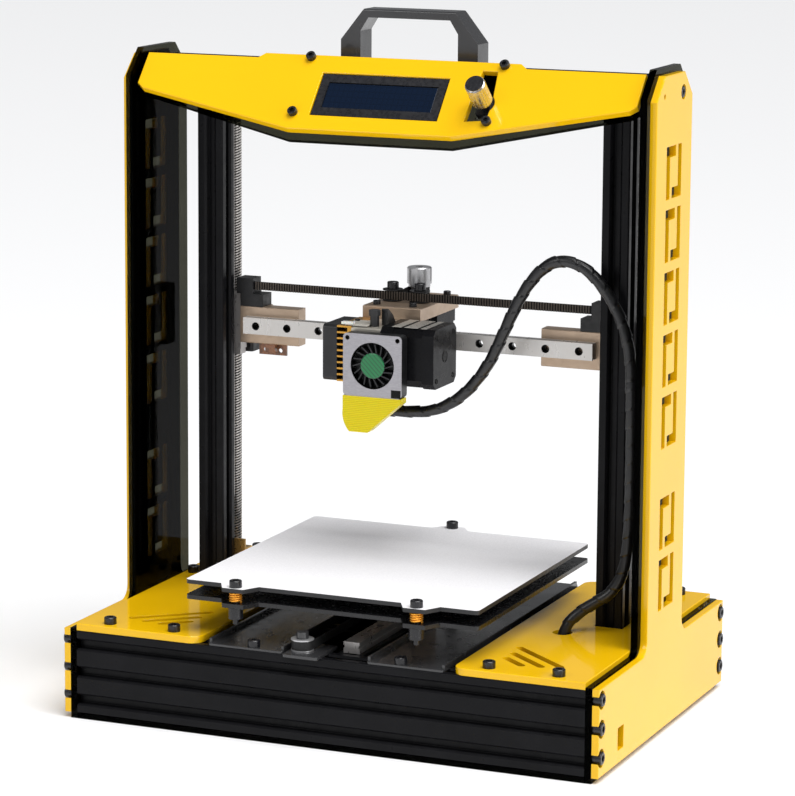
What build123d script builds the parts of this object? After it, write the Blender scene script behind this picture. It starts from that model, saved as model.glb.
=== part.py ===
from build123d import *
import math
import os

os.makedirs("parts", exist_ok=True)

# ---------------------------------------------------------------- driving sizes
# The origin is the middle of the base on the table, X to the right, Y to the rear, Z up.
base_depth = 268                    # front to rear
beam_length = 380                   # the lying beams, between the side panels
cell = 20                           # one cell of the slotted aluminium section
sheet = 5                           # acrylic sheet of the side panels and decks
floor_sheet = 4                     # bottom sheet
beam_top = floor_sheet + 3 * cell   # top of the three-cell base beams
deck_top = beam_top + sheet

column_x = 155                      # the two columns and the two lead screws
column_y = 20
screw_y = 54
column_foot = 44
column_top = 438
portal_top = column_top + cell

rail_width = 12                     # 12 mm profile rails and their long blocks
rail_height = 8
rail_pitch = 25
block_width = 27
block_length = 45.4
block_lift = 3                      # from the rail's base to the block's underside
block_top = 13
slide_gap = 0.2                     # between a rail and its block

motor_size = 42.3                   # 42 mm stepper motors
motor_length = 40
bolt_half_pitch = 15.5              # half the spacing of the motor's four screws

gantry_z = 261.5                    # X rail centre line at rest
rail_back_y = 31.3                  # X rail's mounting face
carriage_x = -13.5                  # carriage at rest
belt_y = 35
belt_z = 286.5
belt_height = 6
belt_thickness = 1.4
x_pulley_y = 65.3
idler_half_gap = 10.5
idler_y = 41

bed_y = -14.5                       # bed centre at rest
bed_size = 219
bed_z = 104
carrier_z = 93
plate_thickness = 3
ear_x = 67.5
ear_front_y = -131
ear_rear_y = 100

y_rail_x = 11.5
y_belt_x = -20
y_idler_y = -124
y_pulley_y = 91
y_belt_z = 67.2

head_x = -4                         # joint between the extruder block and its motor
head_y = -8                         # middle of the print head
head_z = 256.5

# The tilted control panel: its face, its width along X, its height along the slope.
panel_face = Plane(origin=(0, -41.3, 442), x_dir=(1, 0, 0), z_dir=(0, -0.7495, 0.662))
knob_x = 77.5
knob_t = -3


# ---------------------------------------------------------------- shared shapes
def slotted_section(wide, high):
    """The section of a slotted beam of wide by high cells, centred on the origin."""
    groove = [(-4.58, 0), (-3.1, -1.5), (-3.1, -1.8), (-5.5, -1.8), (-5.5, -3.2), (-2.9, -5.8)]
    groove += [(-x, y) for x, y in reversed(groove)]
    faces = []
    bores = []
    for column in range(wide):
        x = (column - (wide - 1) / 2) * cell
        faces.append(Location((x, high * cell / 2, 0)))
        faces.append(Location((x, -high * cell / 2, 0), (0, 0, 180)))
    for row in range(high):
        y = (row - (high - 1) / 2) * cell
        faces.append(Location((wide * cell / 2, y, 0), (0, 0, -90)))
        faces.append(Location((-wide * cell / 2, y, 0), (0, 0, 90)))
        bores += [((column - (wide - 1) / 2) * cell, y) for column in range(wide)]
    with BuildSketch() as section:
        RectangleRounded(wide * cell, high * cell, 1.2)
        with Locations(*faces):
            Polygon(*groove, align=None, mode=Mode.SUBTRACT)
        with Locations(*bores):
            Circle(2.1, mode=Mode.SUBTRACT)
    return section.sketch


def guide_rail(plane, length):
    """A profile rail with its base on the plane, along the plane's X."""
    count = int(length // rail_pitch)
    with BuildPart(plane) as rail:
        Box(length, rail_width, rail_height, align=(Align.CENTER, Align.CENTER, Align.MIN))
        with Locations((0, rail_width / 2, 4.6), (0, -rail_width / 2, 4.6)):
            Box(length, 1.6, 2.2, mode=Mode.SUBTRACT)
        with Locations((0, 0, rail_height)):
            with GridLocations(rail_pitch, 1, count, 1):
                CounterBoreHole(1.75, 3, 4.5, rail_height)
    return rail.part


def guide_block(plane):
    """The block that runs on a profile rail, over the plane that carries the rail."""
    body = block_top - block_lift
    centre_low = (Align.CENTER, Align.CENTER, Align.MIN)
    with BuildPart(plane) as block:
        with Locations((0, 0, block_lift)):
            Box(block_length - 8, block_width, body, align=centre_low)
        for side in (-1, 1):
            with Locations((side * (block_length - 4) / 2, 0, block_lift + 0.4)):
                Box(4, block_width - 1, body - 1, align=centre_low)
        Box(block_length, rail_width + 2 * slide_gap, rail_height + slide_gap, align=centre_low,
            mode=Mode.SUBTRACT)
        with Locations((0, 0, block_top)):
            with GridLocations(20, 20, 2, 2):
                Hole(1.5, depth=3.5)
    return block.part


def stepper_motor(plane, length, shaft_length):
    """A stepper motor that hangs under its mounting plane with the shaft up."""
    cap = 9
    with BuildPart(plane) as motor:
        with BuildSketch(plane):
            Rectangle(motor_size, motor_size)
            chamfer(vertices(), 4)
        extrude(amount=-cap)
        with BuildSketch(plane.offset(-cap)):
            Rectangle(motor_size - 0.8, motor_size - 0.8)
            chamfer(vertices(), 5.5)
        extrude(amount=-(length - 2 * cap))
        with BuildSketch(plane.offset(cap - length)):
            Rectangle(motor_size, motor_size)
            chamfer(vertices(), 4)
        extrude(amount=-cap)
        with BuildSketch(plane):
            Circle(11)
        extrude(amount=2)
        if shaft_length:
            with BuildSketch(plane.offset(2)):
                Circle(2.5)
            extrude(amount=shaft_length - 2)
        with Locations((0, 0, 0)):
            with GridLocations(2 * bolt_half_pitch, 2 * bolt_half_pitch, 2, 2):
                Hole(1.5, depth=5)
    return motor.part


def cap_screws(plane, points, radius, height):
    """Socket-head screws that stand on a plane at the given points."""
    with BuildPart() as heads:
        with BuildSketch(plane):
            with Locations(*points):
                Circle(radius)
        extrude(amount=height)
        top = heads.faces().filter_by(lambda face: abs(plane.to_local_coords(face.center()).Z - height) < 0.01)
        chamfer(top.edges(), radius * 0.12)
        with BuildSketch(plane.offset(height)):
            with Locations(*points):
                RegularPolygon(radius * 0.55, 6)
        extrude(amount=-height * 0.55, mode=Mode.SUBTRACT)
    return heads.part


def flanged_wheel(plane, rim, flange, bore, height, rim_height):
    """A belt wheel with two thin flanges; it stands on the plane."""
    side = (height - rim_height) / 2
    with BuildPart() as wheel:
        with BuildSketch(plane):
            Circle(flange)
        extrude(amount=side)
        with BuildSketch(plane.offset(side)):
            Circle(rim)
        extrude(amount=rim_height)
        with BuildSketch(plane.offset(side + rim_height)):
            Circle(flange)
        extrude(amount=side)
        with BuildSketch(plane):
            Circle(bore)
        extrude(amount=height, mode=Mode.SUBTRACT)
    return wheel.part


def round_cord(points, radius, name):
    """A cord along the points, with each corner as round as its two runs allow."""
    places = [Vector(*point) for point in points]
    runs = [end - start for start, end in zip(places, places[1:])]
    radii = []
    for before, after in zip(runs, runs[1:]):
        turn = math.radians(before.get_angle(after))
        radii.append(0.45 * min(before.length, after.length) / math.tan(turn / 2))
    with BuildPart() as cord:
        with BuildLine() as route:
            FilletPolyline(*places, radius=radii)
        start = route.line @ 0
        heading = route.line % 0
        with BuildSketch(Plane(origin=start, z_dir=heading)):
            Circle(radius)
        sweep(path=route.line)
    length = sum(edge.length for edge in route.edges())
    expected = math.pi * radius ** 2 * length
    print(name, "radii", [round(value) for value in radii], "length", round(length, 1))
    print(name, "volume over section times length", round(cord.part.volume / expected, 4))
    return cord.part


section_one = slotted_section(1, 1)
section_two = slotted_section(1, 2)
section_three = slotted_section(1, 3)

# ---------------------------------------------------------------- base
with BuildPart() as bottom_panel:
    with BuildSketch():
        Rectangle(beam_length, base_depth)
    extrude(amount=floor_sheet)
bottom_panel.part.label = "bottom_panel"
export_step(bottom_panel.part, "parts/bottom_panel.step")

with BuildPart() as base_beams:
    for side in (-1, 1):
        middle = (-beam_length / 2, side * (base_depth - cell) / 2, floor_sheet + 1.5 * cell)
        with BuildSketch(Plane(origin=middle, x_dir=(0, 1, 0), z_dir=(1, 0, 0))):
            add(section_three)
        extrude(amount=beam_length)
base_beams.part.label = "base_beams"
export_step(base_beams.part, "parts/base_beams.step")

with BuildPart() as cross_beam:
    middle = (-beam_length / 2, column_y, floor_sheet + cell)
    with BuildSketch(Plane(origin=middle, x_dir=(0, 1, 0), z_dir=(1, 0, 0))):
        add(section_two)
    extrude(amount=beam_length)
cross_beam.part.label = "cross_beam"
export_step(cross_beam.part, "parts/cross_beam.step")

y_beam_length = base_depth - 2 * cell
with BuildPart() as y_beam:
    with BuildSketch(Plane(origin=(y_rail_x, y_beam_length / 2, beam_top - cell / 2), z_dir=(0, -1, 0))):
        add(section_one)
    extrude(amount=y_beam_length)
y_beam.part.label = "y_beam"
export_step(y_beam.part, "parts/y_beam.step")

# Side panels: a foot strip over the whole depth and a tall fin with a bevelled head.
inner_half = 43.5
inner_top = 466
outer_half = 37.5
outer_top = 461.5
port_y = -90
port_z = 21


def side_outline(half, top, bevel, foot_low, foot_high, fillet_radius):
    """Half the panel's outline is drawn and mirrored; the fin meets the foot in a round."""
    with BuildSketch() as outline:
        with BuildLine():
            Polyline((0, foot_low), (base_depth / 2, foot_low), (base_depth / 2, foot_high),
                     (half, foot_high), (half, top - bevel), (half - bevel, top), (0, top))
            mirror(about=Plane.YZ)
        make_face()
        inside = outline.vertices().group_by(Axis.Y)[1].sort_by(Axis.X)
        fillet(inside[1:3], fillet_radius)
    return outline.sketch


inner_outline = side_outline(inner_half, inner_top, 18.5, 0, beam_top + 1.5, 6)
outer_outline = side_outline(outer_half, outer_top, 16.5, floor_sheet, beam_top + 1, 10)

# Two facing hooks make one ornament of the cut-out row in the outer panels.
hook_half = 16
hook_reach = 18
hook_stroke = 7.5
hook_arm = 20
ornament_z = [395, 352, 309, 266, 223, 152, 109]
edge_screw_y = base_depth / 2 - 5.5
edge_screw_z = [17, 37, 57]
edge_points = [(front * edge_screw_y, z) for front in (-1, 1) for z in edge_screw_z]

with BuildPart() as inner_panels:
    for side in (-1, 1):
        start = side * beam_length / 2
        with BuildSketch(Plane(origin=(start, 0, 0), x_dir=(0, 1, 0), z_dir=(1, 0, 0))):
            add(inner_outline)
            if side > 0:
                with Locations((port_y, port_z)):
                    Rectangle(12, 16, mode=Mode.SUBTRACT)
        extrude(amount=side * sheet)
inner_panels.part.label = "inner_panels"
export_step(inner_panels.part, "parts/inner_panels.step")

for side, word in ((-1, "left"), (1, "right")):
    start = side * (beam_length / 2 + sheet)
    with BuildPart() as outer_panel:
        with BuildSketch(Plane(origin=(start, 0, 0), x_dir=(0, 1, 0), z_dir=(1, 0, 0))):
            add(outer_outline)
            with Locations(*edge_points):
                Circle(6.2, mode=Mode.SUBTRACT)
            with Locations((-22, 447.7)):
                Circle(1.8, mode=Mode.SUBTRACT)
            with Locations((18, 447.7)):
                Circle(5.2, mode=Mode.SUBTRACT)
            if side > 0:
                with Locations((port_y, port_z)):
                    Rectangle(12, 16, mode=Mode.SUBTRACT)
            for middle in ornament_z:
                for turn in (1, -1):
                    with Locations((turn * (hook_stroke / 2 - hook_half), middle)):
                        Rectangle(hook_stroke, 2 * hook_reach, mode=Mode.SUBTRACT)
                    arm_middle = turn * (hook_arm / 2 - hook_half)
                    with Locations((arm_middle, middle + turn * (hook_reach - hook_stroke / 2))):
                        Rectangle(hook_arm, hook_stroke, mode=Mode.SUBTRACT)
        extrude(amount=side * sheet)
        rim = outer_panel.faces().sort_by(Axis.X)[-1 if side > 0 else 0]
        chamfer(rim.outer_wire().edges(), 0.4)
    outer_panel.part.label = f"{word}_outer_panel"
    export_step(outer_panel.part, f"parts/{word}_outer_panel.step")

# Decks: the yellow tops of the base, with slashes, a column hole and a screw hole each.
deck_inner = 94.5
deck_middle = (deck_inner + beam_length / 2) / 2
deck_width = beam_length / 2 - deck_inner
slash_width = 5.5
slashes = [(139.5, -85.5, 62), (134, -95.5, 44), (127.5, -103.5, 26)]
deck_screws = [(168, -125), (118, -125), (170, 123), (118, 124), (183, 38)]
loom_hole = (130.5, -16.5)

with BuildPart() as decks:
    for side in (-1, 1):
        with BuildSketch(Plane.XY.offset(beam_top)):
            with Locations((side * deck_middle, 0)):
                Rectangle(deck_width, base_depth)
            inner_corners = vertices().group_by(Axis.X)[0 if side > 0 else -1]
            fillet(inner_corners, 9)
            with Locations((side * column_x, column_y)):
                Rectangle(cell + 1, cell + 1, mode=Mode.SUBTRACT)
            with Locations((side * column_x, screw_y)):
                Circle(11.6, mode=Mode.SUBTRACT)
            for x, y, length in slashes:
                with Locations(Location((side * x, y, 0), (0, 0, -side * 40))):
                    SlotOverall(length, slash_width, mode=Mode.SUBTRACT)
            if side > 0:
                with Locations(loom_hole):
                    Circle(7, mode=Mode.SUBTRACT)
        extrude(amount=sheet)
    for face in decks.faces().group_by(Axis.Z)[-1]:
        chamfer(face.outer_wire().edges(), 0.4)
decks.part.label = "decks"
export_step(decks.part, "parts/decks.step")

tray_inner = 31.5
tray_outer = 88
with BuildPart() as floor_trays:
    with BuildSketch(Plane.XY.offset(beam_top)):
        with Locations(((tray_inner + tray_outer) / 2, 0)):
            Rectangle(tray_outer - tray_inner, base_depth - 2)
        fillet(vertices(), 2)
    extrude(amount=1.5)
    with BuildSketch(Plane.XY.offset(beam_top + 1.5)):
        with Locations((tray_inner + 1, 0), (tray_outer - 1, 0)):
            Rectangle(2, base_depth - 8)
    extrude(amount=3)
    mirror(about=Plane.YZ)
floor_trays.part.label = "floor_trays"
export_step(floor_trays.part, "parts/floor_trays.step")

# ---------------------------------------------------------------- portal
with BuildPart() as columns:
    for side in (-1, 1):
        with BuildSketch(Plane(origin=(side * column_x, column_y, column_foot))):
            add(section_one)
        extrude(amount=column_top - column_foot)
columns.part.label = "columns"
export_step(columns.part, "parts/columns.step")

with BuildPart() as top_beam:
    middle = (-beam_length / 2, column_y, column_top + cell / 2)
    with BuildSketch(Plane(origin=middle, x_dir=(0, 1, 0), z_dir=(1, 0, 0))):
        add(section_one)
    extrude(amount=beam_length)
top_beam.part.label = "top_beam"
export_step(top_beam.part, "parts/top_beam.step")

handle_half = 52
handle_top = 496.5
grip_half = 37
with BuildPart() as carry_handle:
    with BuildSketch(Plane(origin=(0, column_y - cell / 2, 0), x_dir=(1, 0, 0), z_dir=(0, -1, 0))):
        with BuildLine():
            Polyline((0, portal_top), (handle_half, portal_top), (handle_half, 474.5),
                     (34.5, handle_top), (0, handle_top))
            mirror(about=Plane.YZ)
        make_face()
        with BuildLine():
            Polyline((0, portal_top), (grip_half, portal_top), (grip_half, 481), (31, 490.5),
                     (0, 490.5))
            mirror(about=Plane.YZ)
        make_face(mode=Mode.SUBTRACT)
    extrude(amount=-cell)
    fillet(carry_handle.edges().filter_by(Axis.X).group_by(Axis.Z)[-1], 1.5)
carry_handle.part.label = "carry_handle"
export_step(carry_handle.part, "parts/carry_handle.step")

z_rail_middle = 280
z_rail_length = 300
y_rail_length = 224
with BuildPart() as frame_rails:
    for side in (-1, 1):
        back = Plane(origin=(side * column_x, column_y + cell / 2, z_rail_middle),
                     x_dir=(0, 0, 1), z_dir=(0, 1, 0))
        add(guide_rail(back, z_rail_length))
    lying = Plane(origin=(y_rail_x, 0, beam_top), x_dir=(0, 1, 0), z_dir=(0, 0, 1))
    add(guide_rail(lying, y_rail_length))
frame_rails.part.label = "frame_rails"
export_step(frame_rails.part, "parts/frame_rails.step")

with BuildPart() as frame_motors:
    for side in (-1, 1):
        add(stepper_motor(Plane(origin=(side * column_x, screw_y, beam_top)), motor_length, 0))
    add(stepper_motor(Plane(origin=(y_belt_x, y_pulley_y, beam_top)), motor_length, 10))
frame_motors.part.label = "frame_motors"
export_step(frame_motors.part, "parts/frame_motors.step")

screw_foot = beam_top + 2.2
screw_tip = 430
for side, word in ((-1, "left"), (1, "right")):
    with BuildPart() as lead_screw:
        with BuildSketch(Plane(origin=(side * column_x, screw_y, screw_foot))):
            Circle(4)
        extrude(amount=screw_tip - screw_foot)
        chamfer(lead_screw.faces().sort_by(Axis.Z)[-1].edges(), 1)
    lead_screw.part.label = f"{word}_lead_screw"
    export_step(lead_screw.part, f"parts/{word}_lead_screw.step")

with BuildPart() as z_endstop:
    with BuildSketch(Plane.XY.offset(82)):
        with Locations((-column_x + 11.5, 31)):
            Rectangle(13, 2)
    extrude(amount=18)
    with BuildSketch(Plane.XY.offset(85)):
        with Locations((-column_x + 11.5, 37)):
            Rectangle(12, 10)
    extrude(amount=8)
    with BuildSketch(Plane.XY.offset(93)):
        with Locations((-column_x + 11.5, 37)):
            Circle(2.5)
    extrude(amount=5)
z_endstop.part.label = "z_endstop"
export_step(z_endstop.part, "parts/z_endstop.step")

# ---------------------------------------------------------------- control panel
window_half = 47.7
window_low = -19.6
window_high = 16.5
panel_thickness = 5


def panel_outline(drop):
    """The shield shape of the control panel; drop lowers the middle of its lower edge."""
    with BuildSketch() as outline:
        with BuildLine():
            Polyline((0, 31.5), (96, 31.5), (101, 27.5), (187, 27.5), (187, 0.5), (182, -3.6),
                     (61, -32 - drop), (0, -32 - drop))
            mirror(about=Plane.YZ)
        make_face()
    return outline.sketch


with BuildPart() as front_panel:
    with BuildSketch(panel_face):
        add(panel_outline(0))
        with Locations((0, (window_low + window_high) / 2)):
            Rectangle(2 * window_half, window_high - window_low, mode=Mode.SUBTRACT)
        Polygon((69.8, 24.1), (80.9, 23.8), (83.6, -4.2), (82.6, -16.9), (67.2, -18.6), (67.8, 0.9),
                align=None, mode=Mode.SUBTRACT)
        with Locations((knob_x, knob_t)):
            Circle(7.8, mode=Mode.SUBTRACT)
    extrude(amount=-panel_thickness)
    face = front_panel.faces().filter_by(lambda item: abs(panel_face.to_local_coords(item.center()).Z) < 0.01)
    chamfer(face.edges(), 0.4)
front_panel.part.label = "front_panel"
export_step(front_panel.part, "parts/front_panel.step")

with BuildPart() as backing_panel:
    with BuildSketch(panel_face.offset(-8)):
        add(panel_outline(4))
        with Locations((knob_x, knob_t)):
            Rectangle(13, 14, mode=Mode.SUBTRACT)
    extrude(amount=-3)
backing_panel.part.label = "backing_panel"
export_step(backing_panel.part, "parts/backing_panel.step")

knob_centre = panel_face.from_local_coords((knob_x, knob_t, 0))
knob_plane = Plane(origin=knob_centre, x_dir=(1, 0, 0), z_dir=panel_face.z_dir)
with BuildPart() as display_module:
    with BuildSketch(panel_face.offset(-7.9)):
        with Locations((0, -1.5)):
            Rectangle(94, 35)
    extrude(amount=5.9)
    with BuildSketch(panel_face.offset(-2)):
        with Locations((0, -1.5)):
            Rectangle(94, 35)
            Rectangle(82, 21.6, mode=Mode.SUBTRACT)
    extrude(amount=1.2)
    with BuildSketch(knob_plane.offset(-11)):
        RectangleRounded(12, 12, 1)
    extrude(amount=6)
    with BuildSketch(knob_plane.offset(-5)):
        Circle(3.6)
    extrude(amount=5)
    with BuildSketch(knob_plane.offset(-9)):
        Circle(3.05)
    extrude(amount=9, mode=Mode.SUBTRACT)
display_module.part.label = "display_module"
export_step(display_module.part, "parts/display_module.step")

with BuildPart() as encoder_shaft:
    with BuildSketch(knob_plane.offset(-7.5)):
        Circle(3)
    extrude(amount=19.5)
encoder_shaft.part.label = "encoder_shaft"
export_step(encoder_shaft.part, "parts/encoder_shaft.step")

with BuildPart() as knob:
    with BuildSketch(knob_plane.offset(3)):
        Circle(7.2)
        with PolarLocations(7.3, 24):
            Circle(0.45, mode=Mode.SUBTRACT)
    extrude(amount=18.5)
    with BuildSketch(knob_plane.offset(21.5)):
        Circle(6.4)
    extrude(amount=1.5)
    with BuildSketch(knob_plane.offset(3)):
        Circle(3.05)
    extrude(amount=10, mode=Mode.SUBTRACT)
knob.part.label = "knob"
export_step(knob.part, "parts/knob.step")

# ---------------------------------------------------------------- belt drive of the bed
with BuildPart() as belt_brackets:
    with BuildSketch(Plane.XY.offset(beam_top)):
        with Locations(((-28.5 - 2) / 2, -122)):
            RectangleRounded(26.5, 36, 2)
        with Locations(((-28.5 + 1) / 2, 102)):
            Rectangle(29.5, 64)
        with Locations((y_belt_x, y_pulley_y)):
            Circle(11.2, mode=Mode.SUBTRACT)
    extrude(amount=2)
    with BuildSketch(Plane.XY.offset(beam_top + 2)):
        with Locations((y_belt_x, y_idler_y)):
            Circle(2.5)
    extrude(amount=8.5)
    with BuildSketch(Plane.XY.offset(beam_top + 10.5)):
        with Locations((y_belt_x, y_idler_y)):
            Circle(4.3)
    extrude(amount=4.5)
belt_brackets.part.label = "belt_brackets"
export_step(belt_brackets.part, "parts/belt_brackets.step")

with BuildPart() as y_idler:
    add(flanged_wheel(Plane(origin=(y_belt_x, y_idler_y, beam_top + 2.1)), 6.2, 8, 2.55, 8.2, 6.6))
y_idler.part.label = "y_idler"
export_step(y_idler.part, "parts/y_idler.step")

with BuildPart() as y_pulley:
    add(flanged_wheel(Plane(origin=(y_belt_x, y_pulley_y, beam_top + 2.2)), 6.2, 8, 2.55, 8, 6.6))
y_pulley.part.label = "y_pulley"
export_step(y_pulley.part, "parts/y_pulley.step")

y_belt_radius = 7.6
with BuildPart() as y_belt:
    with BuildSketch(Plane(origin=(0, 0, y_belt_z))):
        with BuildLine():
            front_left = (y_belt_x - y_belt_radius, y_idler_y)
            front_right = (y_belt_x + y_belt_radius, y_idler_y)
            rear_left = (y_belt_x - y_belt_radius, y_pulley_y)
            rear_right = (y_belt_x + y_belt_radius, y_pulley_y)
            Line(front_left, rear_left)
            Line(rear_right, front_right)
            ThreePointArc(front_left, (y_belt_x, y_idler_y - y_belt_radius), front_right)
            ThreePointArc(rear_left, (y_belt_x, y_pulley_y + y_belt_radius), rear_right)
        make_face()
        offset(amount=-1.1, mode=Mode.SUBTRACT)
    extrude(amount=belt_height)
y_belt.part.label = "y_belt"
export_step(y_belt.part, "parts/y_belt.step")

with BuildPart() as controller_board:
    with BuildSketch(Plane.XY.offset(floor_sheet + 4)):
        with Locations((132, -60)):
            Rectangle(108, 84)
    extrude(amount=1.6)
    with BuildSketch(Plane.XY.offset(floor_sheet)):
        with Locations((132, -60)):
            with GridLocations(100, 76, 2, 2):
                Circle(3)
    extrude(amount=4)
    with BuildSketch(Plane.XY.offset(floor_sheet + 5.6)):
        with Locations((181, port_y)):
            Rectangle(16, 12)
    extrude(amount=11)
    with BuildSketch(Plane.XY.offset(floor_sheet + 5.6)):
        with Locations((120, -60)):
            with GridLocations(16, 20, 4, 3):
                Rectangle(12, 14)
    extrude(amount=8)
controller_board.part.label = "controller_board"
export_step(controller_board.part, "parts/controller_board.step")

# ---------------------------------------------------------------- screws of the frame
with BuildPart() as frame_screws:
    for side in (-1, 1):
        deck_points = [(side * x, y) for x, y in deck_screws]
        add(cap_screws(Plane.XY.offset(deck_top), deck_points, 4.4, 5))
        tray_points = [(side * 55, y) for y in (-128, 124)]
        add(cap_screws(Plane.XY.offset(beam_top + 1.5), tray_points, 4.4, 5))
        motor_points = [(side * (column_x + dx), screw_y + dy)
                        for dx in (-bolt_half_pitch, bolt_half_pitch)
                        for dy in (-bolt_half_pitch, bolt_half_pitch)]
        add(cap_screws(Plane.XY.offset(deck_top), motor_points, 2.8, 3))
        out_face = Plane(origin=(side * (beam_length / 2 + sheet), 0, 0), x_dir=(0, side, 0),
                         z_dir=(side, 0, 0))
        add(cap_screws(out_face, [(side * y, z) for y, z in edge_points], 4.5, 6.2))
        add(cap_screws(out_face, [(side * 18, 447.7)], 4, 5))
    add(cap_screws(panel_face, [(-60, 29), (-60, -18.5), (85, 29), (84, -18.5)], 3.4, 3.5))
frame_screws.part.label = "frame_screws"
export_step(frame_screws.part, "parts/frame_screws.step")

# ---------------------------------------------------------------- gantry
x_rail_length = 270
rail_plane = Plane(origin=(0, rail_back_y, gantry_z), x_dir=(1, 0, 0), z_dir=(0, -1, 0))
with BuildPart() as x_guide_rail:
    add(guide_rail(rail_plane, x_rail_length + 6))
    with BuildSketch(rail_plane):
        with Locations((x_rail_length / 2 + 5, 0), (-x_rail_length / 2 - 5, 0)):
            Rectangle(10, rail_width + 4)
    extrude(amount=rail_height, mode=Mode.SUBTRACT)
x_guide_rail.part.label = "x_guide_rail"
export_step(x_guide_rail.part, "parts/x_guide_rail.step")

# Beige brackets: a block in front of a rear plate that reaches behind the column.
bracket_low = 247.5
bracket_high = 274.5
bracket_inner = 94
guide_back_y = column_y + cell / 2 + block_top
with BuildPart() as x_brackets:
    with BuildSketch(Plane.XY.offset(bracket_low)):
        with Locations(((bracket_inner + 141) / 2, (rail_back_y + guide_back_y) / 2)):
            Rectangle(141 - bracket_inner, guide_back_y - rail_back_y)
        with Locations(((122 + 169) / 2, guide_back_y + 2)):
            Rectangle(169 - 122, 4)
    extrude(amount=bracket_high - bracket_low)
    chamfer(x_brackets.edges().filter_by(Axis.X).group_by(Axis.Y)[0], 0.6)
    mirror(about=Plane.YZ)
x_brackets.part.label = "x_brackets"
export_step(x_brackets.part, "parts/x_brackets.step")

guide_middle_z = 260.7
with BuildPart() as z_guide_blocks:
    for side in (-1, 1):
        back = Plane(origin=(side * column_x, column_y + cell / 2, guide_middle_z), x_dir=(0, 0, 1),
                     z_dir=(0, 1, 0))
        add(guide_block(back))
z_guide_blocks.part.label = "z_guide_blocks"
export_step(z_guide_blocks.part, "parts/z_guide_blocks.step")

nut_block_front = guide_back_y + 4
with BuildPart() as nut_blocks:
    with BuildSketch(Plane.XY.offset(238)):
        with Locations(((138.5 + 170) / 2, (nut_block_front + 64) / 2)):
            RectangleRounded(31.5, 64 - nut_block_front, 2)
        with Locations((column_x, screw_y)):
            Circle(4.3, mode=Mode.SUBTRACT)
    extrude(amount=44.5)
    mirror(about=Plane.YZ)
nut_blocks.part.label = "nut_blocks"
export_step(nut_blocks.part, "parts/nut_blocks.step")

clamp_low_top = 283.6
with BuildPart() as belt_clamps:
    with BuildSketch(Plane.XY.offset(bracket_high)):
        with Locations(((123 + 141) / 2, 39)):
            Rectangle(18, 15)
    extrude(amount=clamp_low_top - bracket_high)
    with BuildSketch(Plane.XY.offset(clamp_low_top)):
        with Locations(((131 + 144) / 2, 38.5)):
            Rectangle(13, 14)
    extrude(amount=295 - clamp_low_top)
    mirror(about=Plane.YZ)
belt_clamps.part.label = "belt_clamps"
export_step(belt_clamps.part, "parts/belt_clamps.step")

with BuildPart() as x_belt:
    with BuildSketch(Plane.XY.offset(belt_z)):
        with Locations((0, belt_y)):
            Rectangle(2 * 131, belt_thickness)
    extrude(amount=belt_height)
x_belt.part.label = "x_belt"
export_step(x_belt.part, "parts/x_belt.step")

with BuildPart() as x_endstop:
    with BuildSketch(Plane(origin=(0, 40, 0), x_dir=(1, 0, 0), z_dir=(0, -1, 0))):
        with Locations((-118, 243)):
            Rectangle(22, 9)
        with Locations((-124, 242), (-112, 242)):
            Circle(1.6, mode=Mode.SUBTRACT)
    extrude(amount=1.6)
    with BuildSketch(Plane(origin=(0, 38.4, 0), x_dir=(1, 0, 0), z_dir=(0, -1, 0))):
        with Locations((-118, 244.2)):
            Rectangle(8, 6.4)
    extrude(amount=5)
x_endstop.part.label = "x_endstop"
export_step(x_endstop.part, "parts/x_endstop.step")

# ---------------------------------------------------------------- X carriage
carriage_base = Plane(origin=(carriage_x, rail_back_y, gantry_z), x_dir=(1, 0, 0), z_dir=(0, -1, 0))
with BuildPart() as x_guide_block:
    add(guide_block(carriage_base))
x_guide_block.part.label = "x_guide_block"
export_step(x_guide_block.part, "parts/x_guide_block.step")

plate_low = 275.5
plate_high = 285
plate_front = 13.5
block_front = rail_back_y - block_top
plate_width = 44.5
plate_rear = 86.5
with BuildPart() as carriage_plate:
    with BuildSketch(Plane.XY.offset(plate_low)):
        with Locations((carriage_x, (plate_front + plate_rear) / 2)):
            Rectangle(plate_width, plate_rear - plate_front)
        with Locations((carriage_x, x_pulley_y)):
            Circle(11.3, mode=Mode.SUBTRACT)
            with GridLocations(2 * bolt_half_pitch, 2 * bolt_half_pitch, 2, 2):
                Circle(1.7, mode=Mode.SUBTRACT)
    extrude(amount=plate_high - plate_low)
    with BuildSketch(Plane.XY.offset(240)):
        with Locations((carriage_x, (plate_front + block_front) / 2)):
            Rectangle(plate_width, block_front - plate_front)
    extrude(amount=plate_low - 240)
    chamfer(carriage_plate.faces().sort_by(Axis.Z)[-1].outer_wire().edges(), 0.6)
carriage_plate.part.label = "carriage_plate"
export_step(carriage_plate.part, "parts/carriage_plate.step")

with BuildPart() as x_motor:
    add(stepper_motor(Plane(origin=(carriage_x, x_pulley_y, plate_low)), motor_length, 29))
x_motor.part.label = "x_motor"
export_step(x_motor.part, "parts/x_motor.step")

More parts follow.
